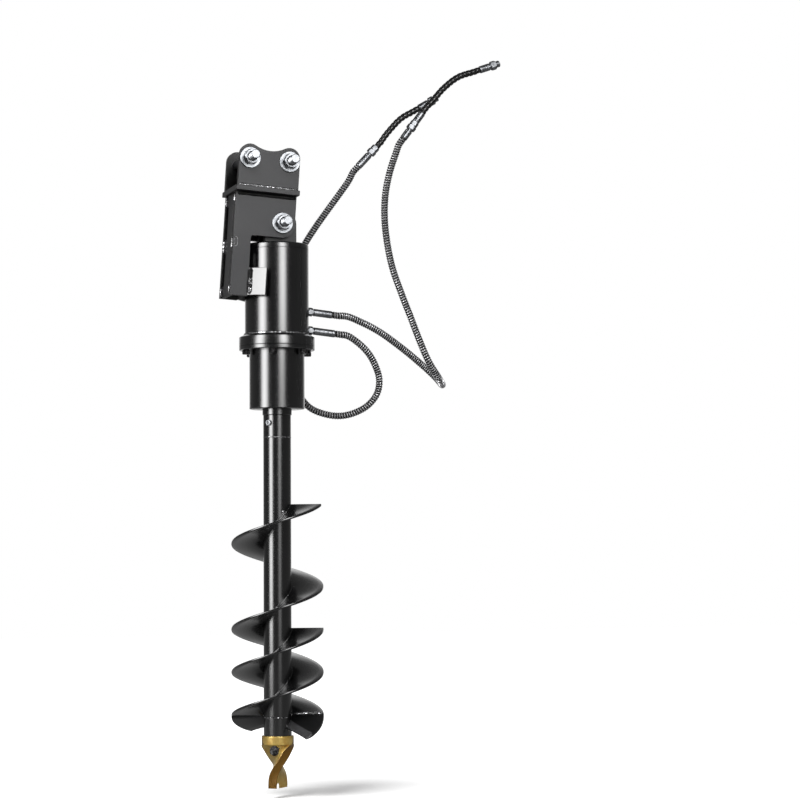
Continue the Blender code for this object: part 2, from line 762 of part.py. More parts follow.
# Hydraulic motor, a closed unit: end cover, geroler ring and port body with its bottom spigot
motor_top = cap_bottom - MOTOR_TOP_GAP
cover_bottom = motor_top - MOTOR_END_LENGTH
ring_bottom = cover_bottom - MOTOR_RING_LENGTH
body_radius = housing_bore - SEAT_GAP
motor_bore = SUN_SHAFT_RADIUS + BOLT_CLEARANCE
bore_top = MOTOR_BORE_DEPTH - MOTOR_BODY_BOTTOM - MOTOR_SPIGOT_LENGTH
spigot_bottom = -MOTOR_BODY_BOTTOM - MOTOR_SPIGOT_LENGTH
motor = turned(
    [
        (MOTOR_END_RADIUS, motor_top),
        (MOTOR_END_RADIUS, cover_bottom),
        (MOTOR_RING_RADIUS, cover_bottom),
        (MOTOR_RING_RADIUS, ring_bottom),
        (body_radius, ring_bottom),
        (body_radius, -MOTOR_BODY_BOTTOM),
        (MOTOR_SPIGOT_RADIUS, -MOTOR_BODY_BOTTOM),
        (MOTOR_SPIGOT_RADIUS, spigot_bottom),
        (motor_bore, spigot_bottom),
        (motor_bore, bore_top),
    ],
    FINE_SIDES,
    hollow=False,
)
piece("hydraulic_motor", motor, SATIN_BLACK, drive)


# Gears of the planetary stage: involute teeth, each flank drawn by three points
def involute(angle):
    return math.tan(angle) - angle


def tooth_half_angle(radius, teeth, backlash):
    """Half of a tooth's angle at a radius, from the involute of its base circle."""
    pitch_radius = GEAR_MODULE * teeth / 2
    base_radius = pitch_radius * math.cos(PRESSURE_ANGLE)
    slope = math.acos(min(1, base_radius / max(radius, base_radius)))
    half_at_pitch = math.pi / teeth / 2 - backlash / 2 / pitch_radius
    return half_at_pitch + involute(PRESSURE_ANGLE) - involute(slope)


def toothed(teeth, low, high, backlash, phase):
    """A gear's outline, with three points on each flank between its low and high radius."""
    middle = (low + high) / 2
    outline = []
    for i in range(teeth):
        centre = phase + math.tau * i / teeth
        for side, radii in ((-1, (low, middle, high)), (1, (high, middle, low))):
            for radius in radii:
                turn = centre + side * tooth_half_angle(radius, teeth, backlash)
                outline.append((radius * math.cos(turn), radius * math.sin(turn)))
    return outline


addendum = GEAR_MODULE * ADDENDUM_SHARE
dedendum = GEAR_MODULE * DEDENDUM_SHARE
sun_pitch = GEAR_MODULE * SUN_TEETH / 2
planet_pitch = GEAR_MODULE * PLANET_TEETH / 2
ring_pitch = GEAR_MODULE * RING_TEETH / 2
planet_orbit = sun_pitch + planet_pitch

# Ring gear: its tooth spaces are a mating gear's teeth, so it takes that outline with the backlash added
ring_teeth = toothed(RING_TEETH, ring_pitch - addendum, ring_root, -BACKLASH, math.pi / RING_TEETH)
ring = extruded([hole((0, 0), ring_outer, FINE_SIDES), ring_teeth], GEAR_WIDTH)
piece("ring_gear", ring, GEAR_STEEL, drive, (0, 0, gear_bottom))

# Sun gear on the motor's shaft
sun_outline = toothed(SUN_TEETH, sun_pitch - dedendum, sun_pitch + addendum, BACKLASH, 0)
sun_ring = [Vector(point).normalized() * SUN_SHAFT_RADIUS for point in sun_outline]
sun_axis = empty("sun_axis", drive, (0, 0, gear_bottom))
sun = lofted(
    [
        [(x, y, 0) for x, y in sun_outline],
        [(x, y, GEAR_WIDTH) for x, y in sun_outline],
        [(x, y, GEAR_WIDTH) for x, y in sun_ring],
        [(x, y, -SUN_SHAFT_TOP_DROP - gear_bottom) for x, y in sun_ring],
    ]
)
piece("sun_shaft", sun, GEAR_STEEL, sun_axis)

# Planet gears on the carrier's pins, each turned so that its teeth stand in the sun's and ring's spaces
planet_bore = PLANET_PIN_RADIUS + SEAT_GAP
for i in range(PLANET_COUNT):
    turn = math.tau * i / PLANET_COUNT
    place = (planet_orbit * math.cos(turn), planet_orbit * math.sin(turn), gear_bottom)
    axis = empty(f"planet_axis_{i + 1}", output, place)
    phase = turn + math.pi + math.pi / PLANET_TEETH
    outline = toothed(PLANET_TEETH, planet_pitch - dedendum, planet_pitch + addendum, BACKLASH, phase)
    planet = extruded([outline, hole((0, 0), planet_bore)], GEAR_WIDTH)
    piece(f"planet_gear_{i + 1}", planet, GEAR_STEEL, axis)

# Output shaft: carrier disc, bearing seats, collar below the lip and the stub that the auger fits over
stub_radius = TUBE_RADIUS - TUBE_WALL - SEAT_GAP
stub_bottom = -COLLAR_BOTTOM_DROP - STUB_LENGTH
shaft = piece(
    "output_shaft",
    turned(
        [
            (stub_radius, stub_bottom),
            (stub_radius, -COLLAR_BOTTOM_DROP),
            (COLLAR_RADIUS, -COLLAR_BOTTOM_DROP),
            (COLLAR_RADIUS, lip_top),
            (SHAFT_RADIUS, lip_top),
            (SHAFT_RADIUS, carrier_bottom),
            (CARRIER_RADIUS, carrier_bottom),
            (CARRIER_RADIUS, carrier_top),
        ],
        FINE_SIDES,
        hollow=False,
    ),
    BARE_STEEL,
    output,
)
pins = []
for i in range(PLANET_COUNT):
    turn = math.tau * i / PLANET_COUNT
    x = planet_orbit * math.cos(turn)
    y = planet_orbit * math.sin(turn)
    pins.append(rod(PLANET_PIN_RADIUS, (x, y, carrier_bottom + PIN_STAND), (x, y, gear_top + PIN_STAND)))
cut(shaft, joined(pins), "UNION")

# Tapered bearings: a cup in the housing and a cone on the shaft, with a running gap between them
cone_bore = SHAFT_RADIUS + SEAT_GAP
for name, top, lean in (("upper", upper_bearing_top, 1), ("lower", lower_bearing_top, -1)):
    bottom = top - BEARING_WIDTH
    wide = BEARING_SPLIT_RADIUS + BEARING_TAPER * lean / 2
    narrow = BEARING_SPLIT_RADIUS - BEARING_TAPER * lean / 2
    cup = turned(
        [
            (wide + BEARING_CLEARANCE, top),
            (narrow + BEARING_CLEARANCE, bottom),
            (BEARING_OUTER_RADIUS, bottom),
            (BEARING_OUTER_RADIUS, top),
        ],
        FINE_SIDES,
    )
    piece(f"{name}_bearing_cup", cup, BARE_STEEL, drive)
    cone = turned([(cone_bore, top), (cone_bore, bottom), (narrow, bottom), (wide, top)], FINE_SIDES)
    piece(f"{name}_bearing_cone", cone, BARE_STEEL, output)
seal_bottom = lip_top + SEAT_GAP
seal_bore = SHAFT_RADIUS + BOLT_CLEARANCE
seal = turned(
    [
        (seal_bore, seal_bottom),
        (SEAL_RADIUS, seal_bottom),
        (SEAL_RADIUS, seal_top),
        (seal_bore, seal_top),
    ],
    FINE_SIDES,
)
piece("shaft_seal", seal, SEAL_RUBBER, drive)

# Auger tube, a sleeve over the output stub at its open top and plugged at its bottom, where a stub
# of its own carries the pilot bit
tube_bore = TUBE_RADIUS - TUBE_WALL
tube_top = -COLLAR_BOTTOM_DROP - SEAT_GAP
auger_tube = piece(
    "auger_tube",
    turned(
        [
            (tube_bore, TUBE_PLUG - TUBE_BOTTOM_DROP),
            (tube_bore, tube_top),
            (TUBE_RADIUS, tube_top),
            (TUBE_RADIUS, -TUBE_BOTTOM_DROP),
            (PILOT_STUB_RADIUS, -TUBE_BOTTOM_DROP),
            (PILOT_STUB_RADIUS, -TUBE_BOTTOM_DROP - PILOT_STUB_LENGTH),
        ],
        FINE_SIDES,
        hollow=False,
    ),
    BLACK_PAINT,
    output,
)

# Cross bolt through the sleeve and the output stub
front = CAMERA_SIDE - math.pi / 2
cross_turn = front + CROSS_BOLT_TURN
cross_way = Vector((math.cos(cross_turn), math.sin(cross_turn), 0))
cross_centre = Vector((0, 0, -CROSS_BOLT_DROP))
cross_hole = CROSS_BOLT_RADIUS + SEAT_GAP
reach = TUBE_RADIUS + CUT_OVERRUN
for target in (auger_tube, shaft):
    cut(target, rod(cross_hole, cross_centre - cross_way * reach, cross_centre + cross_way * reach, 16))
head_seat = TUBE_RADIUS + SEAT_GAP
cross_bolt = lofted(
    [
        circle(CROSS_BOLT_HEAD_RADIUS, CROSS_BOLT_HEAD),
        circle(CROSS_BOLT_HEAD_RADIUS, 0),
        circle(CROSS_BOLT_RADIUS, 0),
        circle(CROSS_BOLT_RADIUS, -2 * head_seat),
        hexagon(2 * CROSS_BOLT_HEAD_RADIUS, -2 * head_seat),
        hexagon(2 * CROSS_BOLT_HEAD_RADIUS, -2 * head_seat - CROSS_BOLT_HEAD),
    ]
)
cross_tilt = Vector((0, 0, 1)).rotation_difference(cross_way).to_euler()
piece("cross_bolt", cross_bolt, ZINC, output, cross_centre + cross_way * head_seat, cross_tilt)


# Flights: plates wound round the tube, going down clockwise as seen from above
def flight(turns, end_turn):
    """A helical plate that ends at the blade, thickened straight down."""
    steps = round(turns * FLIGHT_STEPS_PER_TURN)
    inner = TUBE_RADIUS + 2 * SEAT_GAP
    sections = []
    for i in range(steps + 1):
        above = turns * (1 - i / steps)
        turn = end_turn + math.tau * above
        top = FLIGHT_PITCH * above - FLIGHT_BOTTOM_DROP
        sections.append(
            [
                (radius * math.cos(turn), radius * math.sin(turn), z)
                for radius, z in (
                    (inner, top),
                    (FLIGHT_RADIUS, top),
                    (FLIGHT_RADIUS, top - FLIGHT_THICKNESS),
                    (inner, top - FLIGHT_THICKNESS),
                )
            ]
        )
    return lofted(sections)


# Cutting blades: flat sectors of plate that slope down from the end of each flight
def blade(start_turn):
    inner = TUBE_RADIUS + 2 * SEAT_GAP
    first = SEAT_GAP / inner
    drop = BLADE_THICKNESS / math.cos(BLADE_SLOPE)
    sections = []
    for i in range(BLADE_STEPS + 1):
        swing = first + (BLADE_SPAN - first) * i / BLADE_STEPS
        turn = start_turn - swing
        section = []
        for radius, below in ((inner, 0), (FLIGHT_RADIUS, 0), (FLIGHT_RADIUS, drop), (inner, drop)):
            fall = radius * math.sin(swing) * math.tan(BLADE_SLOPE) + below
            section.append((radius * math.cos(turn), radius * math.sin(turn), -FLIGHT_BOTTOM_DROP - fall))
        sections.append(section)
    return lofted(sections)


main_end = CAMERA_SIDE + math.pi
second_end = CAMERA_SIDE
piece("main_flight", flight(MAIN_FLIGHT_TURNS, main_end), BLACK_PAINT, output)
piece("second_flight", flight(SECOND_FLIGHT_TURNS, second_end), BLACK_PAINT, output)
piece("cutting_blade_1", blade(main_end), SATIN_BLACK, output)
piece("cutting_blade_2", blade(second_end), SATIN_BLACK, output)


# Pilot bit: a round boss that turns into a flat bar, twisted half a turn and notched at its tip
def squared_oval(half_width, half_thickness, twist, z, power):
    ring = []
    for i in range(COARSE_SIDES):
        turn = math.tau * i / COARSE_SIDES
        c, s = math.cos(turn), math.sin(turn)
        x = half_width * math.copysign(abs(c) ** (2 / power), c)
        y = half_thickness * math.copysign(abs(s) ** (2 / power), s)
        across = CAMERA_SIDE - twist
        ring.append(
            (x * math.cos(across) - y * math.sin(across), x * math.sin(across) + y * math.cos(across), z)
        )
    return ring


pilot_top = -TUBE_BOTTOM_DROP - SEAT_GAP
boss_bottom = pilot_top - PILOT_BOSS_LENGTH
pilot_rings = [
    squared_oval(PILOT_RADIUS, PILOT_RADIUS, 0, pilot_top, 2),
    squared_oval(PILOT_RADIUS, PILOT_RADIUS, 0, boss_bottom, 2),
]
for depth, width, thickness, turn in PILOT_FORM_SHARES:
    pilot_rings.append(
        squared_oval(
            PILOT_RADIUS * width,
            PILOT_RADIUS * thickness,
            math.pi * turn,
            pilot_top - PILOT_LENGTH * depth,
            PILOT_SQUARENESS,
        )
    )
notch_top = pilot_top - PILOT_LENGTH + PILOT_NOTCH_DEPTH
notch_outline = [
    (-PILOT_NOTCH_WIDTH / 2, notch_top - PILOT_NOTCH_WIDTH),
    (-PILOT_NOTCH_WIDTH / 2, pilot_top - PILOT_LENGTH - CUT_OVERRUN),
    (PILOT_NOTCH_WIDTH / 2, pilot_top - PILOT_LENGTH - CUT_OVERRUN),
    (PILOT_NOTCH_WIDTH / 2, notch_top - PILOT_NOTCH_WIDTH),
    (0, notch_top),
]
pilot_bit = piece("pilot_bit", lofted(pilot_rings), GOLD_PAINT, output)
socket_bottom = pilot_top - PILOT_STUB_LENGTH
cut(
    pilot_bit,
    rod(PILOT_STUB_RADIUS + SEAT_GAP, (0, 0, socket_bottom), (0, 0, pilot_top + CUT_OVERRUN)),
)
notch = extruded([notch_outline], 2 * PILOT_RADIUS)
notch_turn = Matrix.Rotation(CAMERA_SIDE, 4, "Z")
cut(pilot_bit, placed(upright(notch, PILOT_RADIUS), notch_turn))

# Pilot bolt through the bit and the stub, its head in a spot face
bolt_turn = front + PILOT_BOLT_TURN
bolt_way = Vector((math.cos(bolt_turn), math.sin(bolt_turn), 0))
bolt_centre = Vector((0, 0, pilot_top - PILOT_BOLT_DROP))
far_side = bolt_centre - bolt_way * PILOT_RADIUS
pilot_hole = PILOT_BOLT_RADIUS + SEAT_GAP
cut(pilot_bit, rod(pilot_hole, far_side, bolt_centre + bolt_way * PILOT_RADIUS, 16))
cut(auger_tube, rod(pilot_hole, far_side, bolt_centre + bolt_way * PILOT_RADIUS, 16))
seat = bolt_centre + bolt_way * PILOT_SEAT_DEPTH
cut(pilot_bit, rod(PILOT_SPOT_FACE, seat, bolt_centre + bolt_way * 2 * PILOT_RADIUS))
pilot_grip = 2 * PILOT_SEAT_DEPTH
pilot_bolt = hex_bolt(pilot_grip, PILOT_BOLT_RADIUS, PILOT_BOLT_ACROSS_FLATS, PILOT_BOLT_HEAD)
pilot_turn = Vector((0, 0, -1)).rotation_difference(bolt_way).to_euler()
piece("pilot_bolt", pilot_bolt, OXIDE_BLACK, output, seat + bolt_way * SEAT_GAP, pilot_turn)


# Port fittings: a threaded nose through the housing wall, a hexagon, and a crimped ferrule
def fitting(nose, length):
    """A hose fitting along +Z: nose below 0, nut, neck, then the ferrule up to its length."""
    neck_top = FITTING_NUT_LENGTH + FITTING_NECK_LENGTH
    return lofted(
        [
            circle(PORT_NOSE_RADIUS, -nose),
            circle(PORT_NOSE_RADIUS, 0),
            hexagon(FITTING_ACROSS_FLATS, 0),
            hexagon(FITTING_ACROSS_FLATS, FITTING_NUT_LENGTH),
            circle(FITTING_NECK_RADIUS, FITTING_NUT_LENGTH),
            circle(FITTING_NECK_RADIUS, neck_top),
            circle(FERRULE_RADIUS - FERRULE_CHAMFER, neck_top),
            circle(FERRULE_RADIUS, neck_top + FERRULE_CHAMFER),
            circle(FERRULE_RADIUS, length - FERRULE_CHAMFER),
            circle(FERRULE_RADIUS - FERRULE_CHAMFER, length),
        ]
    )


port_way = Vector((math.cos(PORT_DROOP), 0, -math.sin(PORT_DROOP)))
port_turn = Vector((0, 0, 1)).rotation_difference(port_way).to_euler()
port_holes = []
port_ends = {}
for key, drop in PORT_DROPS.items():
    wall_gap = FITTING_ACROSS_FLATS / math.sqrt(3) * math.tan(PORT_DROOP) + SEAT_GAP
    seat = Vector((HOUSING_RADIUS + wall_gap, 0, -drop))
    nose = HOUSING_WALL + wall_gap - PORT_NOSE_RADIUS * math.tan(PORT_DROOP)
    length = PORT_FITTING_LENGTHS[key]
    piece(f"port_fitting_{key}", fitting(nose, length), ZINC, drive, seat, port_turn)
    port_holes.append(rod(PORT_HOLE_RADIUS, seat - port_way * 2 * HOUSING_WALL, seat + port_way * CUT_OVERRUN, 16))
    port_ends[key] = seat + port_way * (length + SEAT_GAP)
cut(motor_housing, joined(port_holes))


# Hoses: tubes on a smooth curve through their route's points
def smooth_curve(route, spacing):
    """The route with everything between its straight leads redrawn as a smooth, evenly spaced curve."""
    ways = []
    for before, at, after in zip(route, route[1:], route[2:]):
        near = at - before
        far = after - at
        blended = near.normalized() * far.length + far.normalized() * near.length
        ways.append(blended / (near.length + far.length))
    dense = [route[1]]
    for a, b, leave, arrive in zip(route[1:], route[2:-1], ways, ways[1:]):
        third = (b - a).length / 3
        dense += interpolate_bezier(a, a + leave * third, b - arrive * third, b, COARSE_SIDES)[1:]
    lengths = [0]
    for near, far in zip(dense, dense[1:]):
        lengths.append(lengths[-1] + (far - near).length)
    count = round(lengths[-1] / spacing)
    even = []
    at = 0
    for i in range(count + 1):
        target = lengths[-1] * i / count
        while at < len(dense) - 2 and lengths[at + 1] < target:
            at += 1
        share = (target - lengths[at]) / (lengths[at + 1] - lengths[at])
        even.append(dense[at].lerp(dense[at + 1], share))
    return [route[0], *even, route[-1]]


def hose(name, points, radius):
    """A hose as a bevelled curve with filled ends."""
    curve = bpy.data.curves.new(name, "CURVE")
    curve.dimensions = "3D"
    curve.bevel_depth = radius
    curve.bevel_resolution = HOSE_BEVEL
    curve.use_fill_caps = True
    spline = curve.splines.new("POLY")
    spline.points.add(len(points) - 1)
    for point, place in zip(spline.points, points):
        point.co = (*place, 1)
    curve.materials.append(material(name, *HOSE_BLACK))
    made = bpy.data.objects.new(name, curve)
    bpy.context.collection.objects.link(made)
    made.parent = drive


def coupling(length, upper_ferrule):
    """A joint between two hoses along +Z: ferrule, two nuts, and a second ferrule where it has one."""
    nuts = length / 2 - COUPLING_NUT_LENGTH if upper_ferrule else length - 2 * COUPLING_NUT_LENGTH
    tail = FERRULE_RADIUS if upper_ferrule else FITTING_NECK_RADIUS
    middle = nuts + COUPLING_NUT_LENGTH
    end = middle + COUPLING_NUT_LENGTH
    rings = [
        circle(FERRULE_RADIUS - FERRULE_CHAMFER, 0),
        circle(FERRULE_RADIUS, FERRULE_CHAMFER),
        circle(FERRULE_RADIUS, nuts - FITTING_NECK_LENGTH),
        circle(FITTING_NECK_RADIUS, nuts - FITTING_NECK_LENGTH),
        circle(FITTING_NECK_RADIUS, nuts),
        hexagon(FITTING_ACROSS_FLATS, nuts),
        hexagon(FITTING_ACROSS_FLATS, middle - FERRULE_CHAMFER),
        hexagon(FITTING_ACROSS_FLATS - 2 * FERRULE_CHAMFER, middle),
        hexagon(FITTING_ACROSS_FLATS - 2 * FERRULE_CHAMFER, end),
    ]
    if upper_ferrule:
        rings += [circle(tail, end), circle(tail, length)]
    return lofted(rings)


def along(way):
    """The rotation that turns +Z to a direction."""
    return Vector((0, 0, 1)).rotation_difference(way).to_euler()


for key in ("a", "b"):
    lower = [Vector(point) for point in HOSE_ROUTES[key + "_lower"]]
    upper = [Vector(point) for point in HOSE_ROUTES[key + "_upper"]]
    start = port_ends[key]
    joint = lower[-1]
    joint_way = (upper[0] - joint).normalized()
    lead = HOSE_RADIUS * HOSE_POINT_SPACING
    route = [start, start + port_way * lead, *lower[:-1], joint - joint_way * lead, joint]
    hose(f"hose_{key}_lower", smooth_curve(route, 2 * HOSE_RADIUS * HOSE_POINT_SPACING), HOSE_RADIUS)
    length = COUPLING_LENGTHS[key]
    seat = joint + joint_way * SEAT_GAP
    piece(f"coupling_{key}", coupling(length, key == "a"), ZINC, drive, seat, along(joint_way))
    start = seat + joint_way * (length + SEAT_GAP)
    end = upper[-1]
    end_way = (end - upper[-2]).normalized()
    route = [start, start + joint_way * lead, *upper[1:-1], end - end_way * lead, end]
    spacing = 2 * UPPER_HOSE_RADIUS * HOSE_POINT_SPACING
    hose(f"hose_{key}_upper", smooth_curve(route, spacing), UPPER_HOSE_RADIUS)
    seat = end + end_way * (END_FITTING_LENGTH + SEAT_GAP)
    piece(f"end_fitting_{key}", fitting(END_THREAD_LENGTH, END_FITTING_LENGTH), ZINC, drive, seat, along(-end_way))
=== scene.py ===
import math

import bmesh
import bpy
import numpy as np
from mathutils import Matrix, Vector


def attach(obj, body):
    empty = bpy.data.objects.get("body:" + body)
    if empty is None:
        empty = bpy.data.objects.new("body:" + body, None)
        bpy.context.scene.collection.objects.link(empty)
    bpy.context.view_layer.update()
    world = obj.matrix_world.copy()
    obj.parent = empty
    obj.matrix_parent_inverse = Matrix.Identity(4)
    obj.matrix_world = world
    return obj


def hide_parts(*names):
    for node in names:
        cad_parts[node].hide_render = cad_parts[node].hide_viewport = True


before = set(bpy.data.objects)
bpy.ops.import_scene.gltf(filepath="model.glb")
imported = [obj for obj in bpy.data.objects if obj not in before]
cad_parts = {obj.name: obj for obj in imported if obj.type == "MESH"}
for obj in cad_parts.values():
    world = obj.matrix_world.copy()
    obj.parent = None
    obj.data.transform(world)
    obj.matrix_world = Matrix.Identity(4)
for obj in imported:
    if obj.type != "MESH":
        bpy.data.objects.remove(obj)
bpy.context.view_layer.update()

# The viewpoint: a long lens a little over five metres off, 15 degrees round from the bracket's front and
# well below the pivot, turned aside so that the hoses have room on the right.
pivot = np.array((0.032218, 0.0, -0.138403))
round_from_front = math.radians(15)
camera_distance = 5.14
camera_drop = 0.7167
picture_pixels = 800
lens_pixels = 2300
aside_pixels, raised_pixels = 123.2, 145
camera_roll = -0.0056
lens = bpy.data.cameras.new("viewpoint")
lens.sensor_width = 36
lens.lens = lens.sensor_width * lens_pixels / picture_pixels
viewpoint = bpy.data.objects.new("viewpoint", lens)
viewpoint.location = pivot + (
    -math.sin(round_from_front) * camera_distance, -math.cos(round_from_front) * camera_distance, -camera_drop,
)
viewpoint.rotation_euler = (
    Matrix.Rotation(-round_from_front - math.atan2(aside_pixels, lens_pixels), 3, "Z")
    @ Matrix.Rotation(math.pi / 2 + math.atan2(raised_pixels, lens_pixels), 3, "X")
    @ Matrix.Rotation(camera_roll, 3, "Z")
).to_euler()
bpy.context.scene.collection.objects.link(viewpoint)
bpy.context.scene.camera = viewpoint

# The guarded hoses: rubber hydraulic hose of 14.2 mm in a guard of round spring wire wound over it
# at a 5.7 mm pitch. Each leaves a port fitting on the housing and ends in a coupling at the arm.
hose_routes = {
    "a": [
        (0.1594, 0.004, -0.1986), (0.2023, 0.012, -0.2113), (0.2492, 0.024, -0.2312), (0.2970, 0.040, -0.2580),
        (0.3408, 0.056, -0.2852), (0.3757, 0.066, -0.3103), (0.3946, 0.056, -0.3305), (0.3955, 0.022, -0.3465),
        (0.3845, -0.018, -0.3515), (0.3606, -0.058, -0.3375), (0.3323, -0.078, -0.3054), (0.3091, -0.084, -0.2593),
        (0.2884, -0.086, -0.2092), (0.2657, -0.088, -0.1550), (0.2445, -0.088, -0.0969), (0.2324, -0.088, -0.0408),
        (0.2267, -0.088, 0.0152), (0.2290, -0.088, 0.0692), (0.2403, -0.088, 0.1221), (0.2546, -0.088, 0.1640),
        (0.2718, -0.088, 0.1970),
    ],
    "b": [
        (0.1611, 0.002, -0.2423), (0.1910, 0.006, -0.2580), (0.2179, 0.012, -0.2811), (0.2367, 0.019, -0.3087),
        (0.2485, 0.027, -0.3407), (0.2464, 0.036, -0.3697), (0.2292, 0.045, -0.3956), (0.2011, 0.054, -0.4134),
        (0.1671, 0.063, -0.4217), (0.1321, 0.072, -0.4175), (0.0992, 0.081, -0.4028), (0.0764, 0.090, -0.3727),
        (0.0647, 0.096, -0.3206), (0.0620, 0.098, -0.2586), (0.0624, 0.096, -0.1896), (0.0648, 0.093, -0.1276),
        (0.0721, 0.090, -0.0727), (0.0884, 0.086, -0.0298), (0.1116, 0.080, 0.0091), (0.1388, 0.074, 0.0489),
        (0.1661, 0.067, 0.0878), (0.1893, 0.061, 0.1227), (0.2094, 0.056, 0.1535),
    ],
}
upper_routes = {
    "a": [
        (0.3161, -0.088, 0.2562), (0.3403, -0.088, 0.2846), (0.3695, -0.088, 0.3174), (0.4056, -0.088, 0.3453),
        (0.4562, -0.088, 0.3640),
    ],
    "b": [
        (0.2507, 0.047, 0.1993), (0.2658, 0.044, 0.2182), (0.2840, 0.040, 0.2421), (0.3091, 0.035, 0.2680),
        (0.3492, 0.030, 0.2918),
    ],
}
coupling_length = {"a": 0.074, "b": 0.062}
port_length = {"a": 0.055, "b": 0.062}
port_drop = {"a": 0.1915, "b": 0.2335}
seat_gap = 0.0003
# The ports lean down by 6 degrees, and it is the corner of each one's hexagon that stops at the housing.
housing_radius = 0.0715
port_nut_width = 0.017
droop = math.radians(6)
port_way = np.array((math.cos(droop), 0, -math.sin(droop)))
port_wall_gap = port_nut_width / math.sqrt(3) * math.tan(droop) + seat_gap
port_seat = {key: np.array((housing_radius + port_wall_gap, 0, -drop)) for key, drop in port_drop.items()}


def linear(code):
    """An sRGB hex colour turned to linear light by the standard curve."""
    channels = np.array([int(code[i : i + 2], 16) / 255 for i in (1, 3, 5)])
    return (*np.where(channels <= 0.04045, channels / 12.92, ((channels + 0.055) / 1.055) ** 2.4), 1)


def add(tree, kind, inputs=None, **fields):
    """One node with its fields and inputs. An input is a value, an output, or a node for its first output."""
    node = tree.nodes.new(kind)
    for field, value in fields.items():
        setattr(node, field, value)
    for socket, value in (inputs or {}).items():
        if isinstance(value, bpy.types.Node):
            value = value.outputs[0]
        if isinstance(value, bpy.types.NodeSocket):
            tree.links.new(value, node.inputs[socket])
        else:
            node.inputs[socket].default_value = value
    return node


def mottled(name, low, high, scale, detail=4, blotch=0.5, ends=(0, 1), gloss=0.5, relief=None, **inputs):
    """A finish whose tone drifts between two colours over a noise in the object's own metres. Gloss is a
    roughness, or the two that the noise runs between. Relief is a bump's strength and depth, followed by the
    scale and detail of its own noise where it doesn't share the tone's."""
    finish = bpy.data.materials.new(name)
    finish.use_nodes = True
    tree = finish.node_tree
    shader = tree.nodes["Principled BSDF"]
    place = add(tree, "ShaderNodeTexCoord").outputs["Object"]
    noise = add(tree, "ShaderNodeTexNoise", {"Vector": place, "Scale": scale, "Detail": detail, "Roughness": blotch})
    tone = add(tree, "ShaderNodeValToRGB", {"Fac": noise})
    for element, position, code in zip(tone.color_ramp.elements, ends, (low, high)):
        element.position = position
        element.color = linear(code)
    tree.links.new(tone.outputs["Color"], shader.inputs["Base Color"])
    if isinstance(gloss, tuple):
        matt = add(tree, "ShaderNodeMapRange", {"Value": noise, "To Min": gloss[0], "To Max": gloss[1]})
        tree.links.new(matt.outputs["Result"], shader.inputs["Roughness"])
    else:
        shader.inputs["Roughness"].default_value = gloss
    if relief:
        strength, depth, *grain = relief
        height = noise
        if grain:
            height = add(tree, "ShaderNodeTexNoise", {"Vector": place, "Scale": grain[0], "Detail": grain[1]})
        bump = add(tree, "ShaderNodeBump", {"Strength": strength, "Distance": depth, "Height": height})
        tree.links.new(bump.outputs["Normal"], shader.inputs["Normal"])
    for socket, value in inputs.items():
        shader.inputs[socket.replace("_", " ")].default_value = value
    return finish


def unit(vectors):
    """Each vector divided by its own length."""
    return vectors / np.linalg.norm(vectors, axis=-1, keepdims=True)


def smooth_route(route, step):
    """Points a step apart on Bezier arcs through the route, whose tangent at a point is the two chords there
    weighed by each other's length. The outer two points are straight leads."""
    route = np.array(route, float)
    chord = np.diff(route, axis=0)
    size = np.linalg.norm(chord, axis=1, keepdims=True)
    tangent = (chord[:-1] / size[:-1] * size[1:] + chord[1:] / size[1:] * size[:-1]) / (size[:-1] + size[1:])
    start, end = route[1:-2, None], route[2:-1, None]
    third = size[1:-1, None] / 3
    leave = start + tangent[:-1, None] * third
    arrive = end - tangent[1:, None] * third
    t = np.linspace(0, 1, 60, endpoint=False)[None, :, None]
    arcs = (1 - t) ** 3 * start + 3 * (1 - t) ** 2 * t * leave + 3 * (1 - t) * t**2 * arrive + t**3 * end
    dense = np.vstack((route[:1], arcs.reshape(-1, 3), route[-2:]))
    far = np.append(0, np.cumsum(np.linalg.norm(np.diff(dense, axis=0), axis=1)))
    at = np.linspace(0, far[-1], round(far[-1] / step) + 1)
    return np.stack([np.interp(at, far, dense[:, k]) for k in range(3)], axis=1), at


def frames_along(line):
    """Tangent and two normals at each point of a line, the first normal carried along by taking the tangent's
    part out of it at each step."""
    tangent = unit(np.gradient(line, axis=0))
    normal = np.empty_like(line)
    carried = np.cross(tangent[0], (0.3, 0.2, 0.9))
    for i, way in enumerate(tangent):
        carried = carried - way * (carried @ way)
        carried /= np.linalg.norm(carried)
        normal[i] = carried
    return tangent, normal, np.cross(tangent, normal)


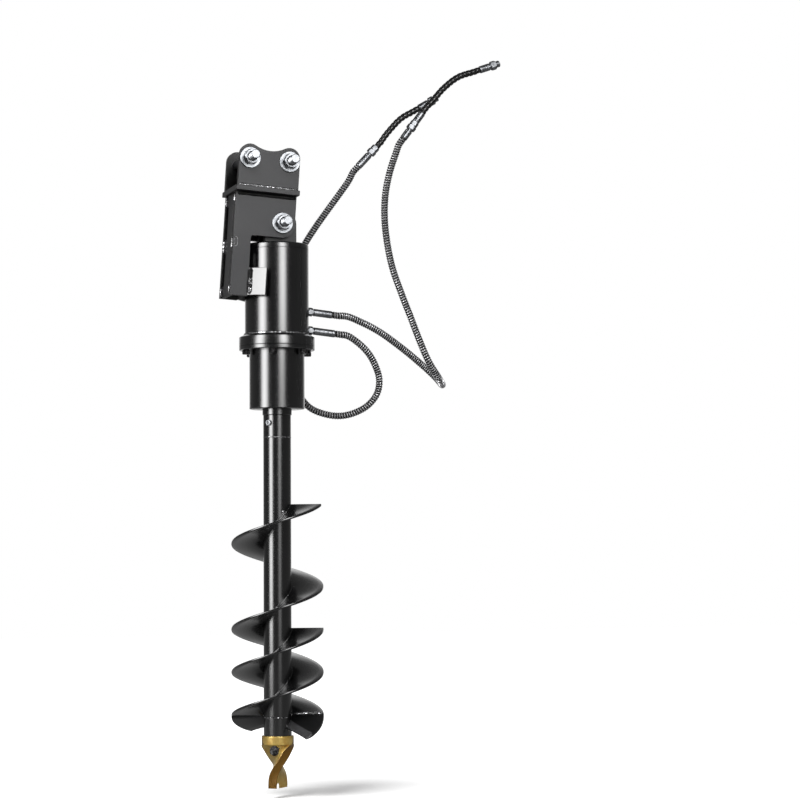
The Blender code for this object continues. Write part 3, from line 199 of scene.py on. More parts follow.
def skin(name, grids, finish, sharp=35, closed_rows=False):
    """A mesh from grids of points. A grid's columns close round the piece, its rows run along it, and its first
    and last rows are capped, or joined to each other. Faces are turned to point outwards by the sign of the
    volume that they enclose."""
    points, faces, caps = [], [], []
    first = 0
    for grid in grids:
        rows, columns = grid.shape[:2]
        index = first + np.arange(rows * columns).reshape(rows, columns)
        near = index if closed_rows else index[:-1]
        far = np.roll(index, -1, 0) if closed_rows else index[1:]
        quads = np.stack((near, np.roll(near, -1, 1), np.roll(far, -1, 1), far), axis=-1).reshape(-1, 4)
        flat = grid.reshape(-1, 3)
        a, b, c, d = (flat[quads[:, k] - first] - flat.mean(0) for k in range(4))
        outwards = (np.cross(a, b) * c).sum() + (np.cross(a, c) * d).sum() > 0
        faces += (quads if outwards else quads[:, ::-1]).tolist()
        if not closed_rows:
            ends = (index[0, ::-1], index[-1])
            caps += [(end if outwards else end[::-1]).tolist() for end in ends]
        points.append(flat)
        first += rows * columns
    mesh = bpy.data.meshes.new(name)
    mesh.from_pydata(np.vstack(points), [], faces + caps)
    mesh.shade_smooth()
    mesh.set_sharp_from_angle(angle=math.radians(sharp))
    mesh.materials.append(finish)
    made = bpy.data.objects.new(name, mesh)
    bpy.context.scene.collection.objects.link(made)
    return made


def swept(line, radius, first, second, columns):
    """Rings of points about a line, spread by a radius over two normals by the cosine and sine of even angles."""
    turn = np.linspace(0, math.tau, columns, endpoint=False)
    return line[:, None] + radius * (
        first[:, None] * np.cos(turn)[None, :, None] + second[:, None] * np.sin(turn)[None, :, None]
    )


def winding(at, fields, lead, pitch, steps):
    """A helix on a line, a lead short of both ends: the line's points at even steps, the ways outwards, which
    turn once in each pitch, and the line's tangents."""
    run = np.arange(0, at[-1] - 2 * lead, pitch / steps) + lead
    centre, around, beside, along = (
        np.stack([np.interp(run, at, field[:, k]) for k in range(3)], axis=1) for field in fields
    )
    angle = (run / pitch * math.tau)[:, None]
    return centre, unit(around) * np.cos(angle) + unit(beside) * np.sin(angle), unit(along)


# Hose rubber: oil-resistant nitrile, calendered smooth and dull, so the wire reads bright against it.
hose_rubber = mottled("nitrile_hose_cover", "#040404", "#0e0e0e", 160, gloss=0.62, IOR=1.52)

# Spring wire: hard-drawn steel under a grey phosphate skin, rubbed bright in patches.
spring_wire = mottled(
    "phosphated_spring_wire", "#9a9a9c", "#dcdcde", 90, 5, 0.65, (0.35, 0.65), gloss=(0.46, 0.3), Metallic=0.45
)

hose_core_radius = 0.0071
wire_radius = 0.0012
wire_pitch = 0.0057
straight_lead = 0.016
hose_ends = {}
cords = {}
for key in ("a", "b"):
    start = pivot + port_seat[key] + port_way * (port_length[key] + seat_gap)
    lower = pivot + np.array(hose_routes[key])
    upper = pivot + np.array(upper_routes[key])
    joint_way = unit(upper[0] - lower[-1])
    route = [start, start + port_way * straight_lead, *lower[:-1], lower[-1] - joint_way * straight_lead, lower[-1]]
    line, at = smooth_route(route, 0.0015)
    tangent, normal, side = frames_along(line)
    hose = skin(f"rubber_hose_{key}", [swept(line, hose_core_radius, normal, side, 20)], hose_rubber)
    centre, outward, _ = winding(at, (line, normal, side, tangent), 0.001, wire_pitch, 18)
    coil = centre + outward * hose_core_radius
    across = np.cross(unit(np.gradient(coil, axis=0)), outward)
    guard = skin(f"spring_guard_{key}", [swept(coil, wire_radius, outward, across, 8)], spring_wire)
    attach(hose, "drive")
    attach(guard, "drive")
    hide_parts(f"hose_{key}_lower")
    cords[key] = (hose, guard, start, at[-1], line)
    hose_ends[key] = (lower[-1], joint_way, upper)

# The upper hoses: rubber hose with a flat polypropylene wrap wound round it at a 10.9 mm pitch, which shines
# a little. They run from the couplings to fittings that screw on the machine's pipes.
wrap_plastic = mottled("polypropylene_spiral_wrap", "#0a0a0a", "#191919", 220, 6, gloss=0.26, IOR=1.49)

upper_radius = 0.0063
wrap_pitch = 0.0109
wrap_width = 0.0076
wrap_thickness = 0.0014
upper_cords = {}
for key in ("a", "b"):
    joint, joint_way, upper = hose_ends[key]
    start = joint + joint_way * (coupling_length[key] + 2 * seat_gap)
    end_way = unit(upper[-1] - upper[-2])
    route = [start, start + joint_way * straight_lead, *upper[1:-1], upper[-1] - end_way * straight_lead, upper[-1]]
    line, at = smooth_route(route, 0.0012)
    tangent, normal, side = frames_along(line)
    hose = skin(f"upper_hose_{key}", [swept(line, upper_radius, normal, side, 20)], hose_rubber)
    centre, outward, along = winding(at, (line, normal, side, tangent), 0.003, wrap_pitch, 28)
    # The wrap's section is a flat band, drawn as a superellipse.
    around_band = np.linspace(0, math.tau, 16, endpoint=False)
    wide = wrap_width / 2 * np.sign(np.cos(around_band)) * np.abs(np.cos(around_band)) ** 0.6
    thick = wrap_thickness / 2 * np.sign(np.sin(around_band)) * np.abs(np.sin(around_band)) ** 0.6
    lift = (upper_radius + 0.0004 + thick)[None, :, None]
    band = centre[:, None] + outward[:, None] * lift + along[:, None] * wide[None, :, None]
    wrap = skin(f"spiral_wrap_{key}", [band], wrap_plastic)
    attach(hose, "drive")
    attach(wrap, "drive")
    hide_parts(f"hose_{key}_upper")
    upper_cords[key] = (hose, wrap, start, at[-1], line, end_way)

# The hose fittings: mild steel, zinc plated bright, with a chamfered hexagon, a neck and a ferrule that
# is crimped on the hose in five shallow waves.
zinc_plate = mottled(
    "bright_zinc_plate", "#606265", "#9c9ea1", 70, 5, 0.6, (0.3, 0.7),
    gloss=(0.32, 0.48), relief=(0.08, 0.0002, 900, 3), Metallic=1,
)


def spun(name, rows, origin, axis, finish, columns=96, closed_rows=False, sharp=28):
    """A body about an axis. Each row is a height, a circle's radius and a hexagon's width across flats, and the
    radius at an angle is the smaller of the circle and the hexagon, which is half its width over the cosine of
    the angle from the nearest flat. A width of 0 leaves the circle alone."""
    height, radius, width = np.array(rows, float).T
    axis = unit(np.array(axis, float))
    east = unit(np.cross((0.31, 0.95, 0.02) if abs(axis[1]) < 0.9 else (0, 0, 1), axis))
    north = np.cross(axis, east)
    turn = np.linspace(0, math.tau, columns, endpoint=False)
    flat = np.cos((turn % (math.tau / 6)) - math.tau / 12)
    hexagon = np.where(width > 0, width / 2, 1)[:, None] / flat
    reach = np.where(width[:, None] > 0, np.minimum(radius[:, None], hexagon), radius[:, None])[..., None]
    grid = swept(np.array(origin) + axis * height[:, None], reach, east[None], north[None], columns)
    return skin(name, [grid], finish, sharp, closed_rows)


def hexagon_rows(low, high, width, steps=5):
    """Rows of a hexagon whose corners are cut back at both ends by a 30 degree cone."""
    rise = np.linspace(0, 1, steps)
    depth = (high - low) * 0.12
    cone = width / 2 + rise * (width / 2) * 0.17
    lower = [(low + depth * t, r, width) for t, r in zip(rise, cone)]
    upper = [(high - depth * t, r, width) for t, r in zip(rise[::-1], cone[::-1])]
    return lower + upper


def ferrule_rows(low, high, radius):
    """Rows of a crimped sleeve: rolled ends, and a waist of lands pressed in by a cosine of the length."""
    share = np.linspace(0, 1, 49)
    press = 0.00008 * (1 - np.cos(share * math.tau * 5)) * (np.abs(share - 0.5) < 0.4)
    ends = 0.0009 * np.clip(1 - np.minimum(share, 1 - share) / 0.04, 0, 1) ** 2
    return [(low + (high - low) * s, radius - p - e, 0) for s, p, e in zip(share, press, ends)]


fitting_width = 0.0185
ferrule_radius = 0.0084
neck_radius = 0.0068
end_length = 0.040
for key in ("a", "b"):
    rows = [(-0.008, 0.0075, 0), (-0.0002, 0.0075, 0), *hexagon_rows(0, 0.010, port_nut_width)]
    rows += [(0.010, neck_radius, 0), (0.012, neck_radius, 0)]
    rows += ferrule_rows(0.012, port_length[key], ferrule_radius)
    port = spun(f"port_fitting_body_{key}", rows, pivot + port_seat[key], port_way, zinc_plate)
    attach(port, "drive")
    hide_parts(f"port_fitting_{key}")

    # Coupling a is crimped on both hoses, with its two nuts in the middle; b is crimped on the lower one.
    joint, joint_way, upper = hose_ends[key]
    length = coupling_length[key]
    nuts = length / 2 - 0.011 if key == "a" else length - 0.022
    rows = [*ferrule_rows(0, nuts - 0.004, ferrule_radius), (nuts - 0.004, neck_radius, 0), (nuts, neck_radius, 0)]
    rows += hexagon_rows(nuts, nuts + 0.0105, fitting_width)
    rows += [(nuts + 0.0105, neck_radius + 0.002, 0), (nuts + 0.0112, neck_radius + 0.002, 0)]
    rows += hexagon_rows(nuts + 0.0112, nuts + 0.022, fitting_width - 0.002)
    if key == "a":
        rows += ferrule_rows(nuts + 0.022, length, ferrule_radius)
    coupling = spun(f"coupling_body_{key}", rows, joint + joint_way * seat_gap, joint_way, zinc_plate)
    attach(coupling, "drive")
    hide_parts(f"coupling_{key}")

    hose, wrap, start, far, line, end_way = upper_cords[key]
    rows = [(-0.010, 0.0065, 0), (-0.0092, 0.0075, 0), (-0.0002, 0.0075, 0), *hexagon_rows(0, 0.012, fitting_width)]
    rows += [(0.012, neck_radius, 0), (0.016, neck_radius, 0), *ferrule_rows(0.016, end_length, ferrule_radius)]
    seat = upper[-1] + end_way * (end_length + seat_gap)
    end = spun(f"end_fitting_body_{key}", rows, seat, -end_way, zinc_plate)
    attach(end, "drive")
    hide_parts(f"end_fitting_{key}")

    lower_hose, guard, exit_point, reach, route = cords[key]

# The bracket: laser-cut mild steel plate, 8 to 12 mm thick, with its edges broken, welded up and
# powder coated satin black in one piece.
satin_powder_and_shade = mottled(
    "satin_black_powder_and_painted_shade", "#262627", "#2f2f31", 14, 5, 0.55, (0.3, 0.7),
    gloss=(0.4, 0.52), relief=(0.12, 0.0003, 1100, 2), IOR=1.5, Specular_IOR_Level=0.35,
)
# Faces that look inwards between the plates get a near-black base colour: painted shade, for the dark that falls
# between the plates. There the place's Y times the normal's Y is negative.
tree = satin_powder_and_shade.node_tree
spot = add(tree, "ShaderNodeTexCoord")
across = add(tree, "ShaderNodeSeparateXYZ", {"Vector": spot.outputs["Object"]})
facing = add(tree, "ShaderNodeSeparateXYZ", {"Vector": spot.outputs["Normal"]})
outwards = add(tree, "ShaderNodeMath", {0: across.outputs["Y"], 1: facing.outputs["Y"]}, operation="MULTIPLY")
inwards = add(tree, "ShaderNodeMath", {0: outwards, 1: -0.01}, operation="LESS_THAN")
tones = {"Factor": inwards, "A": tree.nodes["Color Ramp"], "B": linear("#070707")}
coat = add(tree, "ShaderNodeMix", tones, data_type="RGBA")
tree.links.new(coat.outputs["Result"], tree.nodes["Principled BSDF"].inputs["Base Color"])


def broken_edges(node, finish, width=0.0009):
    """A CAD node's own mesh with its loose triangles merged, flat faces made whole, and every edge sharper
    than 30 degrees rounded by a narrow bevel."""
    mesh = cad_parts[node].data.copy()
    work = bmesh.new()
    work.from_mesh(mesh)
    bmesh.ops.remove_doubles(work, verts=work.verts, dist=0.00002)
    bmesh.ops.dissolve_limit(work, angle_limit=math.radians(1), verts=work.verts, edges=work.edges)
    work.to_mesh(mesh)
    work.free()
    mesh.materials.clear()
    mesh.materials.append(finish)
    mesh.shade_smooth()
    made = bpy.data.objects.new(node + "_plate", mesh)
    bpy.context.scene.collection.objects.link(made)
    rounding = made.modifiers.new("broken_edges", "BEVEL")
    rounding.width = width
    rounding.segments = 2
    rounding.limit_method = "ANGLE"
    rounding.angle_limit = math.radians(30)
    evening = made.modifiers.new("flat_faces_flat", "WEIGHTED_NORMAL")
    evening.keep_sharp = True
    return made


# The enamel of the drive, the auger and the saddle wings: sprayed gloss black, which lies in a slight orange
# peel and mirrors long soft lights.
gloss_enamel = mottled(
    "gloss_black_enamel", "#09090a", "#101011", 22, 6, 0.6, (0.35, 0.7),
    gloss=(0.2, 0.29), relief=(0.1, 0.0003, 600, 2), IOR=1.62, Coat_Weight=0.5, Coat_Roughness=0.14,
)

# Each wing stands 1.3 mm further out than its solid, clear of the wider housing when that swings back.
wing_shift = 0.0009
for node in (
    "ear_front", "ear_rear", "base_plate", "side_plate_front", "side_plate_rear", "web_plate",
    "saddle_wing_front", "saddle_wing_rear",
):
    plate = broken_edges(node, gloss_enamel if node.startswith("saddle") else satin_powder_and_shade)
    if node.startswith("saddle"):
        outwards = -wing_shift if node.endswith("front") else wing_shift
        plate.data.transform(Matrix.Translation((-wing_shift, outwards, 0)))
    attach(plate, "bracket")
    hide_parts(node)

# The bracket's welds: fillets laid by hand with a wire feed, each a row of overlapping ripples under the
# same coat, which pools glossy on them, with bare spatter that catches the light as small glints.
spatter_from, spatter_to = 0.5, 0.6
weld_coat = mottled(
    "coated_weld_metal", "#111112", "#d6d6d9", 230, 4, 0.6, (spatter_from, spatter_to),
    gloss=0.22, relief=(0.5, 0.0008), IOR=1.6, Coat_Weight=0.6, Coat_Roughness=0.08,
)
tree = weld_coat.node_tree
spatter = {"Value": tree.nodes["Noise Texture"], "From Min": spatter_from, "From Max": spatter_to}
bare = add(tree, "ShaderNodeMapRange", spatter)
tree.links.new(bare.outputs["Result"], tree.nodes["Principled BSDF"].inputs["Metallic"])

tilt = math.radians(3.75)


def on_bracket(points):
    """Points drawn square to the bracket, with the pivot at 0, leaned over by its tilt about Y."""
    points = np.asarray(points, float)
    x, y, z = points[..., 0], points[..., 1], points[..., 2]
    return np.stack(
        (x * math.cos(tilt) + z * math.sin(tilt), y, z * math.cos(tilt) - x * math.sin(tilt)), axis=-1
    )


def weld_bead(line, out, size, ripple=0.0042, seed=0.0):
    """A bead's surface: rings about a line, swollen by a sawtooth of the length for each ripple, which trails
    behind at the bead's sides by the square of the angle, and drawn to a point at both ends."""
    line = np.asarray(line, float)
    out = unit(np.broadcast_to(np.asarray(out, float), line.shape))
    tangent = unit(np.gradient(line, axis=0))
    out = unit(out - tangent * (out * tangent).sum(1, keepdims=True))
    beside = np.cross(tangent, out)
    run = np.append(0, np.cumsum(np.linalg.norm(np.diff(line, axis=0), axis=1)))
    turn = np.linspace(0, math.tau, 14, endpoint=False)
    signed = np.where(turn > math.pi, turn - math.tau, turn)
    wander = 0.0016 * np.sin(run * 310 + seed) + 0.0009 * np.sin(run * 733 + 2 * seed)
    phase = ((run + wander)[:, None] + 0.0011 * signed[None] ** 2) / ripple % 1
    swell = size * (0.86 + 0.2 * (1 - phase) ** 1.5 + 0.05 * np.sin(run * 190 + seed)[:, None])
    taper = np.clip(np.minimum(run, run[-1] - run) / (1.3 * size), 0.02, 1)[:, None] ** 0.5
    return swept(line, (swell * taper)[..., None], out, beside, len(turn))


def straight(start, end, step=0.0006):
    """Points along a straight seam."""
    start, end = np.array(start, float), np.array(end, float)
    return np.linspace(start, end, round(np.linalg.norm(end - start) / step) + 1)


leg_back = -0.1085
ear_side, web_side = 0.0652, 0.0388
wing_root, wing_side = -0.0662, 0.0545
seams = []
for side in (-1, 1):
    ear_ends = (leg_back, side * ear_side, 0.0745), (0.0262, side * ear_side, 0.0745)
    seams.append((*ear_ends, (0, side, 0.7), 0.0030))
    for high, low in ((0.0590, 0.0370), (-0.0390, -0.0680), (-0.1460, -0.1680)):
        web_ends = (leg_back, side * web_side, high), (leg_back, side * web_side, low)
        seams.append((*web_ends, (-1, -side * 0.6, 0), 0.0042))
    wing_ends = (wing_root, side * wing_side, -0.1270), (wing_root, side * wing_side, -0.1670)
    seams.append((*wing_ends, (-1, side, 0), 0.0060))
beads = [
    weld_bead(pivot + on_bracket(straight(start, end)), on_bracket(out), size, seed=number * 1.7)
    for number, (start, end, out, size) in enumerate(seams)
]
bracket_welds = skin("bracket_welds", beads, weld_coat, sharp=60)
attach(bracket_welds, "bracket")

# The painted shadow seams: beads shaped as fillets under the base plate and behind the wings' welds, coloured
# near-black as painted shadow, for the shade under the base plate's overhang and at the wings' roots.
painted_shadow_black = mottled("painted_shadow_coat", "#030303", "#0c0c0c", 300, 3, gloss=0.8)
beads = []
for side in (-1, 1):
    for start, end, size in (
        ((leg_back, side * 0.0490, 0.0578), (0.0280, side * 0.0490, 0.0578), 0.0046),
        ((wing_root, side * wing_side, -0.1060), (wing_root, side * wing_side, -0.1670), 0.0057),
    ):
        beads.append(weld_bead(pivot + on_bracket(straight(start, end)), on_bracket((0, side, 0)), size, seed=size))
painted_shadow_seams = skin("painted_shadow_seams", beads, painted_shadow_black, sharp=60)
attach(painted_shadow_seams, "bracket")

# The tab of the web plate that shows on each side plate: a rounded slot whose edge is drawn as a fine
# bright line in a pale metal, a painted highlight where the cut edge catches the light.
painted_highlight_edge = mottled("painted_highlight_slot_line", "#8c8c8e", "#d8d8da", 500, 3, gloss=0.35, Metallic=0.7)
tab_width, tab_height, rim_radius = 0.0076, 0.0200, 0.0006
turn = np.linspace(0, math.tau, 64, endpoint=False)
across = tab_width / 2 * np.sign(np.cos(turn)) * np.abs(np.cos(turn)) ** 0.7
along = tab_height / 2 * np.sign(np.sin(turn)) * np.abs(np.sin(turn)) ** 0.55
for side, name in ((-1, "web_tab_outline_front"), (1, "web_tab_outline_rear")):
    rim = np.stack((across - 0.1035, np.full(len(turn), side * 0.05005), along - 0.0512), axis=1)
    rim = np.vstack((rim, rim[:1]))
    out = unit(np.cross(unit(np.gradient(rim, axis=0)), (0, 1, 0)))
    ring = swept(rim[:-1], rim_radius, out[:-1], np.array([(0, 1.0, 0)]), 8)
    tab = skin(name, [pivot + on_bracket(ring)], painted_highlight_edge, closed_rows=True)
    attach(tab, "bracket")

# The hitch and pivot bolts: M20 steel, zinc plated, with a rolled thread of 2.5 mm pitch on the end that
# stands past the nut, a chamfered hexagon head behind, and a thick flat washer under each nut.
bolt_radius = 0.010
thread_pitch = 0.0025
hexagon_width = 0.030
head_height, nut_height, washer_height = 0.0125, 0.018, 0.0035
washer_radius = 0.0233
clear_radius = 0.0103
past_washer = 0.047
bolt_way = np.array((0.0, -1.0, 0.0))


def threaded(name, grip, thread_from, origin):
    """A hexagon bolt along an axis. Its thread is a triangle wave of the height less the angle over a full
    turn, cut into the shank from where the nut ends, and its tip is a short cone."""
    plain = [*hexagon_rows(-head_height, 0, hexagon_width), (0, bolt_radius, 0), (thread_from - 0.001, bolt_radius, 0)]
    height = np.arange(thread_from, grip - 0.0012, thread_pitch / 10)
    rows = np.array(plain + [(h, bolt_radius, 0) for h in height] + [(grip, bolt_radius * 0.86, 0)])
    turn = np.linspace(0, math.tau, 48, endpoint=False)
    phase = (rows[:, :1] / thread_pitch - turn[None] / math.tau) % 1
    cut = 0.55 * thread_pitch * np.abs(phase * 2 - 1) * (rows[:, :1] >= thread_from) * (rows[:, :1] < grip - 0.0005)
    flat = np.cos((turn % (math.tau / 6)) - math.tau / 12)
    hexagon = np.where(rows[:, 2:] > 0, np.minimum(rows[:, 1:2], rows[:, 2:] / 2 / flat[None]), rows[:, 1:2])
    east = on_bracket((1.0, 0, 0))
    north = np.cross(bolt_way, east)
    line = origin + bolt_way * rows[:, :1]
    return skin(name, [swept(line, (hexagon - cut)[..., None], east[None], north[None], 48)], zinc_plate, sharp=28)


for name, x, z, half_width in (
    ("hitch_left", -0.0864, 0.136, 0.065),
    ("hitch_right", 0.004, 0.136, 0.065),
    ("pivot", 0.0, 0.0, 0.050),
):
    centre = pivot + on_bracket((x, 0, z))
    stack = half_width + seat_gap
    grip = stack + half_width + washer_height + past_washer
    nut_at = stack + washer_height + seat_gap
    bolt = threaded(name + "_hex_bolt", grip, nut_at + stack + 0.0185, centre - bolt_way * stack)
    rows = [
        (0.0, clear_radius, 0), (0.0, 0.0225, 0), (0.0008, washer_radius, 0), (0.0027, washer_radius, 0),
        (washer_height, 0.0225, 0), (washer_height, clear_radius, 0),
    ]
    washer = spun(name + "_flat_washer", rows, centre + bolt_way * stack, bolt_way, zinc_plate, closed_rows=True)
    rows = [
        (0.0, clear_radius, 0), *hexagon_rows(0, nut_height, hexagon_width, 6), (nut_height, 0.0115, 0),
        (0.0165, clear_radius, 0),
    ]
    nut = spun(name + "_hex_nut", rows, centre + bolt_way * nut_at, bolt_way, zinc_plate, closed_rows=True)
    for piece, node in ((bolt, "_bolt"), (washer, "_washer"), (nut, "_nut")):
        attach(piece, "bracket")
        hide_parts(name + node)

# The lugs: plate that stands in the shade between the side plates, coloured a dull near-black as painted shade.
lug_painted_shade = mottled("painted_shade_dull_black", "#090909", "#131314", 90, gloss=0.55)
for node in ("lug_front", "lug_rear"):
    lug = broken_edges(node, lug_painted_shade)
    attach(lug, "drive")
    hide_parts(node)

# The drive's housings: pipe and turned flanges, welded, in the gloss enamel above. The upper flange slopes
# down from the pipe, and the lower one carries the screws.
up = (0, 0, 1)

housing_bore = 0.06185
flange_radius, flange_corner = 0.0847, 0.0841
flange_joint = -0.2715
gearbox_radius, gearbox_bottom = 0.0617, -0.4124
gearbox_flange = -0.2810
rows = [
    (-0.055, 0.0675, 0), (-0.055, housing_radius, 0), (-0.0462, housing_radius, 0), (-0.0450, 0.0710, 0),
    (-0.0436, 0.0697, 0), (-0.043, 0.0681, 0),
]
cap = spun("cap_plate", rows, pivot, up, gloss_enamel, columns=160)
rows = [
    (flange_joint, housing_bore, 0), (flange_joint, flange_corner, 0), (-0.2709, flange_radius, 0),
    (-0.2530, flange_radius, 0), (-0.2520, 0.0843, 0), (-0.2463, 0.0741, 0), (-0.246, 0.0734, 0),
    (-0.246, housing_radius, 0), (-0.056, housing_radius, 0), (-0.0555, 0.0708, 0), (-0.0555, housing_bore, 0),
]
housing = spun("motor_housing_pipe", rows, pivot, up, gloss_enamel, columns=160, closed_rows=True)
rows = [
    (gearbox_bottom, 0.0334, 0), (gearbox_bottom, 0.0599, 0), (-0.4118, 0.0611, 0), (-0.4108, gearbox_radius, 0),
    (gearbox_flange, gearbox_radius, 0), (gearbox_flange, 0.0832, 0), (-0.2804, 0.0842, 0),
    (-0.2795, flange_radius, 0), (-0.2724, flange_radius, 0), (-0.2718, flange_corner, 0), (-0.2718, 0.0531, 0),
    (-0.314, 0.0531, 0), (-0.328, 0.047, 0), (-0.3823, 0.047, 0), (-0.3823, 0.0418, 0), (-0.4050, 0.0418, 0),
    (-0.4050, 0.0334, 0),
]
gearbox = spun("gearbox_pipe", rows, pivot, up, gloss_enamel, columns=160, closed_rows=True)
for piece, node in ((cap, "top_cap"), (housing, "motor_housing"), (gearbox, "gearbox_housing")):
    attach(piece, "drive")
    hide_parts(node)


def ring_seam(radius, height, start=0, end=360):
    """Points round the drive's axis at one height."""
    turn = np.radians(np.arange(start, end + 0.01, 0.5))
    return np.stack((radius * np.cos(turn), radius * np.sin(turn), np.full(turn.shape, height)), axis=1)


# The drive's welds: a fillet round the pipe where it meets the flange, and one on each side of the lugs.
flange_line = ring_seam(housing_radius, -0.2458)
flange_out = unit(flange_line * (1, 1, 0)) + np.array((0, 0, 1.0))
beads = [weld_bead(pivot + flange_line, flange_out, 0.0030, seed=4)]
for number, (y, side) in enumerate(((-0.0362, -1), (-0.0198, 1), (0.0198, -1), (0.0362, 1))):
    seam = straight((-0.0345, y, -0.0427), (0.0345, y, -0.0427))
    beads.append(weld_bead(pivot + seam, (0, side, 1), 0.0028, seed=number))
drive_welds = skin("drive_welds", beads, weld_coat, sharp=60)
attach(drive_welds, "drive")

# The flange bolts: six M10 hexagon screws, black oxide over a steel that rubs bright on its corners.
black_oxide = mottled(
    "black_oxide_screw", "#2b2a2a", "#9a9a9c", 240, 5, 0.7, (0.5, 0.75), gloss=0.32, Metallic=0.9
)
screw_circle = 0.0743
screw_start = 8
for i in range(6):
    turn = math.radians(screw_start + 60 * i)
    seat = pivot + (screw_circle * math.cos(turn), screw_circle * math.sin(turn), gearbox_flange - seat_gap)
    rows = [*hexagon_rows(-0.0106, 0, 0.0150), (0, 0.0045, 0), (0.026, 0.0045, 0)]
    screw = spun(f"flange_screw_{i + 1}", rows, seat, up, black_oxide, columns=48)
    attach(screw, "drive")
    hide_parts(f"flange_bolt_{i + 1}")

# The inner pieces, seen only if a housing is lifted off: the cast motor, hardened gears, ground shafts and
# bearings, the bronze pivot bush and the lip seal. Each keeps its solid and gets its own metal.
gears = ("ring_gear", "sun_shaft", "planet_gear_1", "planet_gear_2", "planet_gear_3")
bearings = ("upper_bearing_cup", "lower_bearing_cup", "upper_bearing_cone", "lower_bearing_cone")
for name, low, high, metal, gloss, scale, nodes in (
    ("painted_cast_iron", "#161617", "#242425", 0.0, 0.5, 60, ("hydraulic_motor",)),
    ("case_hardened_gear_steel", "#6f7073", "#8d8e91", 1.0, 0.3, 300, gears),
    ("ground_bearing_steel", "#a2a3a6", "#bcbdbf", 1.0, 0.2, 400, bearings),
    ("sintered_bronze", "#8a6a35", "#a9854a", 1.0, 0.4, 500, ("pivot_bush",)),
    ("nitrile_lip_seal", "#131313", "#1e1e1e", 0.0, 0.65, 250, ("shaft_seal",)),
):
    inner = mottled(name, low, high, scale, gloss=gloss, Metallic=metal)
    for node in nodes:
        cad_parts[node].data.materials.clear()
        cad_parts[node].data.materials.append(inner)

# The output shaft: turned steel with a painted collar below the housing's lip. Its stub goes down inside
# the auger's sleeve.
collar_rows = [
    (-0.52, 0.0200, 0), (-0.5185, 0.02385, 0), (-0.4258, 0.02385, 0), (-0.4258, 0.0318, 0), (-0.4250, 0.0327, 0),
    (-0.3982, 0.0327, 0), (-0.3982, 0.030, 0), (-0.328, 0.030, 0), (-0.328, 0.044, 0), (-0.318, 0.044, 0),
]
collar = spun("output_shaft_turned", collar_rows, pivot, up, gloss_enamel, columns=128)
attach(collar, "output")
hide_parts("output_shaft")

# The auger's tube: two-inch pipe, with a ring weld where the sleeve joins it, closed at the bottom by a
# plug whose stub carries the pilot bit.
tube_radius = 0.0310
rows = [
    (-1.120, 0.02415, 0), (-0.4261, 0.02415, 0), (-0.4261, 0.0304, 0), (-0.4267, tube_radius, 0),
    (-0.4746, tube_radius, 0), (-0.4754, 0.0305, 0), (-0.4762, tube_radius, 0),
    (-1.1352, tube_radius, 0), (-1.136, 0.0302, 0), (-1.136, 0.0095, 0), (-1.1805, 0.0095, 0),
]
tube = spun("auger_pipe", rows, pivot, up, gloss_enamel, columns=128)
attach(tube, "output")
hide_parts("auger_tube")

# The cross bolt: a round-headed pin screw through the sleeve and the stub, zinc plated. It faces the front
# left, 35 degrees round from the camera.
camera_side = -105
cross_turn = math.radians(camera_side - 35)
cross_way = np.array((math.cos(cross_turn), math.sin(cross_turn), 0))
rows = [
    (-0.0686, 0.0055, 0), (-0.0681, 0.0065, 0.013), (-0.0626, 0.0075, 0.013), (-0.0626, 0.0040, 0), (0, 0.0040, 0),
    (0, 0.0064, 0), (0.0034, 0.0064, 0), (0.0044, 0.0058, 0), (0.0046, 0.0050, 0), (0.0044, 0.0040, 0),
    (0.0018, 0.0034, 0), (0.0020, 0.0016, 0), (0.0034, 0.0012, 0),
]
cross_seat = pivot + (0, 0, -0.4437) + cross_way * 0.0313
cross = spun("cross_pin", rows, cross_seat, cross_way, zinc_plate, columns=60)
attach(cross, "output")
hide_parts("cross_bolt")

# The flights: 5.5 mm plate pressed into a right-hand helix of 189 mm pitch and 205 mm across, enamelled all
# over, with its outer edge rounded.
flight_outer = 0.1025
flight_inner = 0.0313
flight_pitch = 0.1893
flight_bottom = -1.0885
flight_thickness = 0.0055
edge_round = 0.0012
front_side = math.radians(-15)
main_turns, second_turns = 2.45, 1.0


def helix_rows(turns, end_turn, section):
    """A flat section of radius and depth carried up a helix: the angle grows by a full turn and the height by
    one pitch for each turn above the end."""
    above = np.linspace(0, turns, round(turns * 120) + 1)[:, None]
    turn = end_turn + math.tau * above
    radius, depth = section[None, :, 0], section[None, :, 1]
    height = flight_bottom + flight_pitch * above - depth
    return np.stack((radius * np.cos(turn), radius * np.sin(turn), height + 0 * radius), axis=-1)


edge_turn = np.linspace(-math.pi / 2, math.pi / 2, 7)
rim = np.stack((
    flight_outer - edge_round + edge_round * np.cos(edge_turn),
    flight_thickness / 2 + flight_thickness / 2 * np.sin(edge_turn),
), axis=1)
spread = np.linspace(flight_inner, flight_outer - edge_round, 8)[:-1]
plate_section = np.vstack((
    np.stack((spread, np.zeros(7)), axis=1), rim, np.stack((spread[::-1], np.full(7, flight_thickness)), axis=1),
))
flights = (("main_flight", main_turns, front_side + math.pi), ("second_flight", second_turns, front_side))
for name, turns, end_turn in flights:
    grid = pivot + helix_rows(turns, end_turn, plate_section)
    helix = skin(name + "_plate", [grid], gloss_enamel, sharp=40)
    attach(helix, "output")
    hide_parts(name)

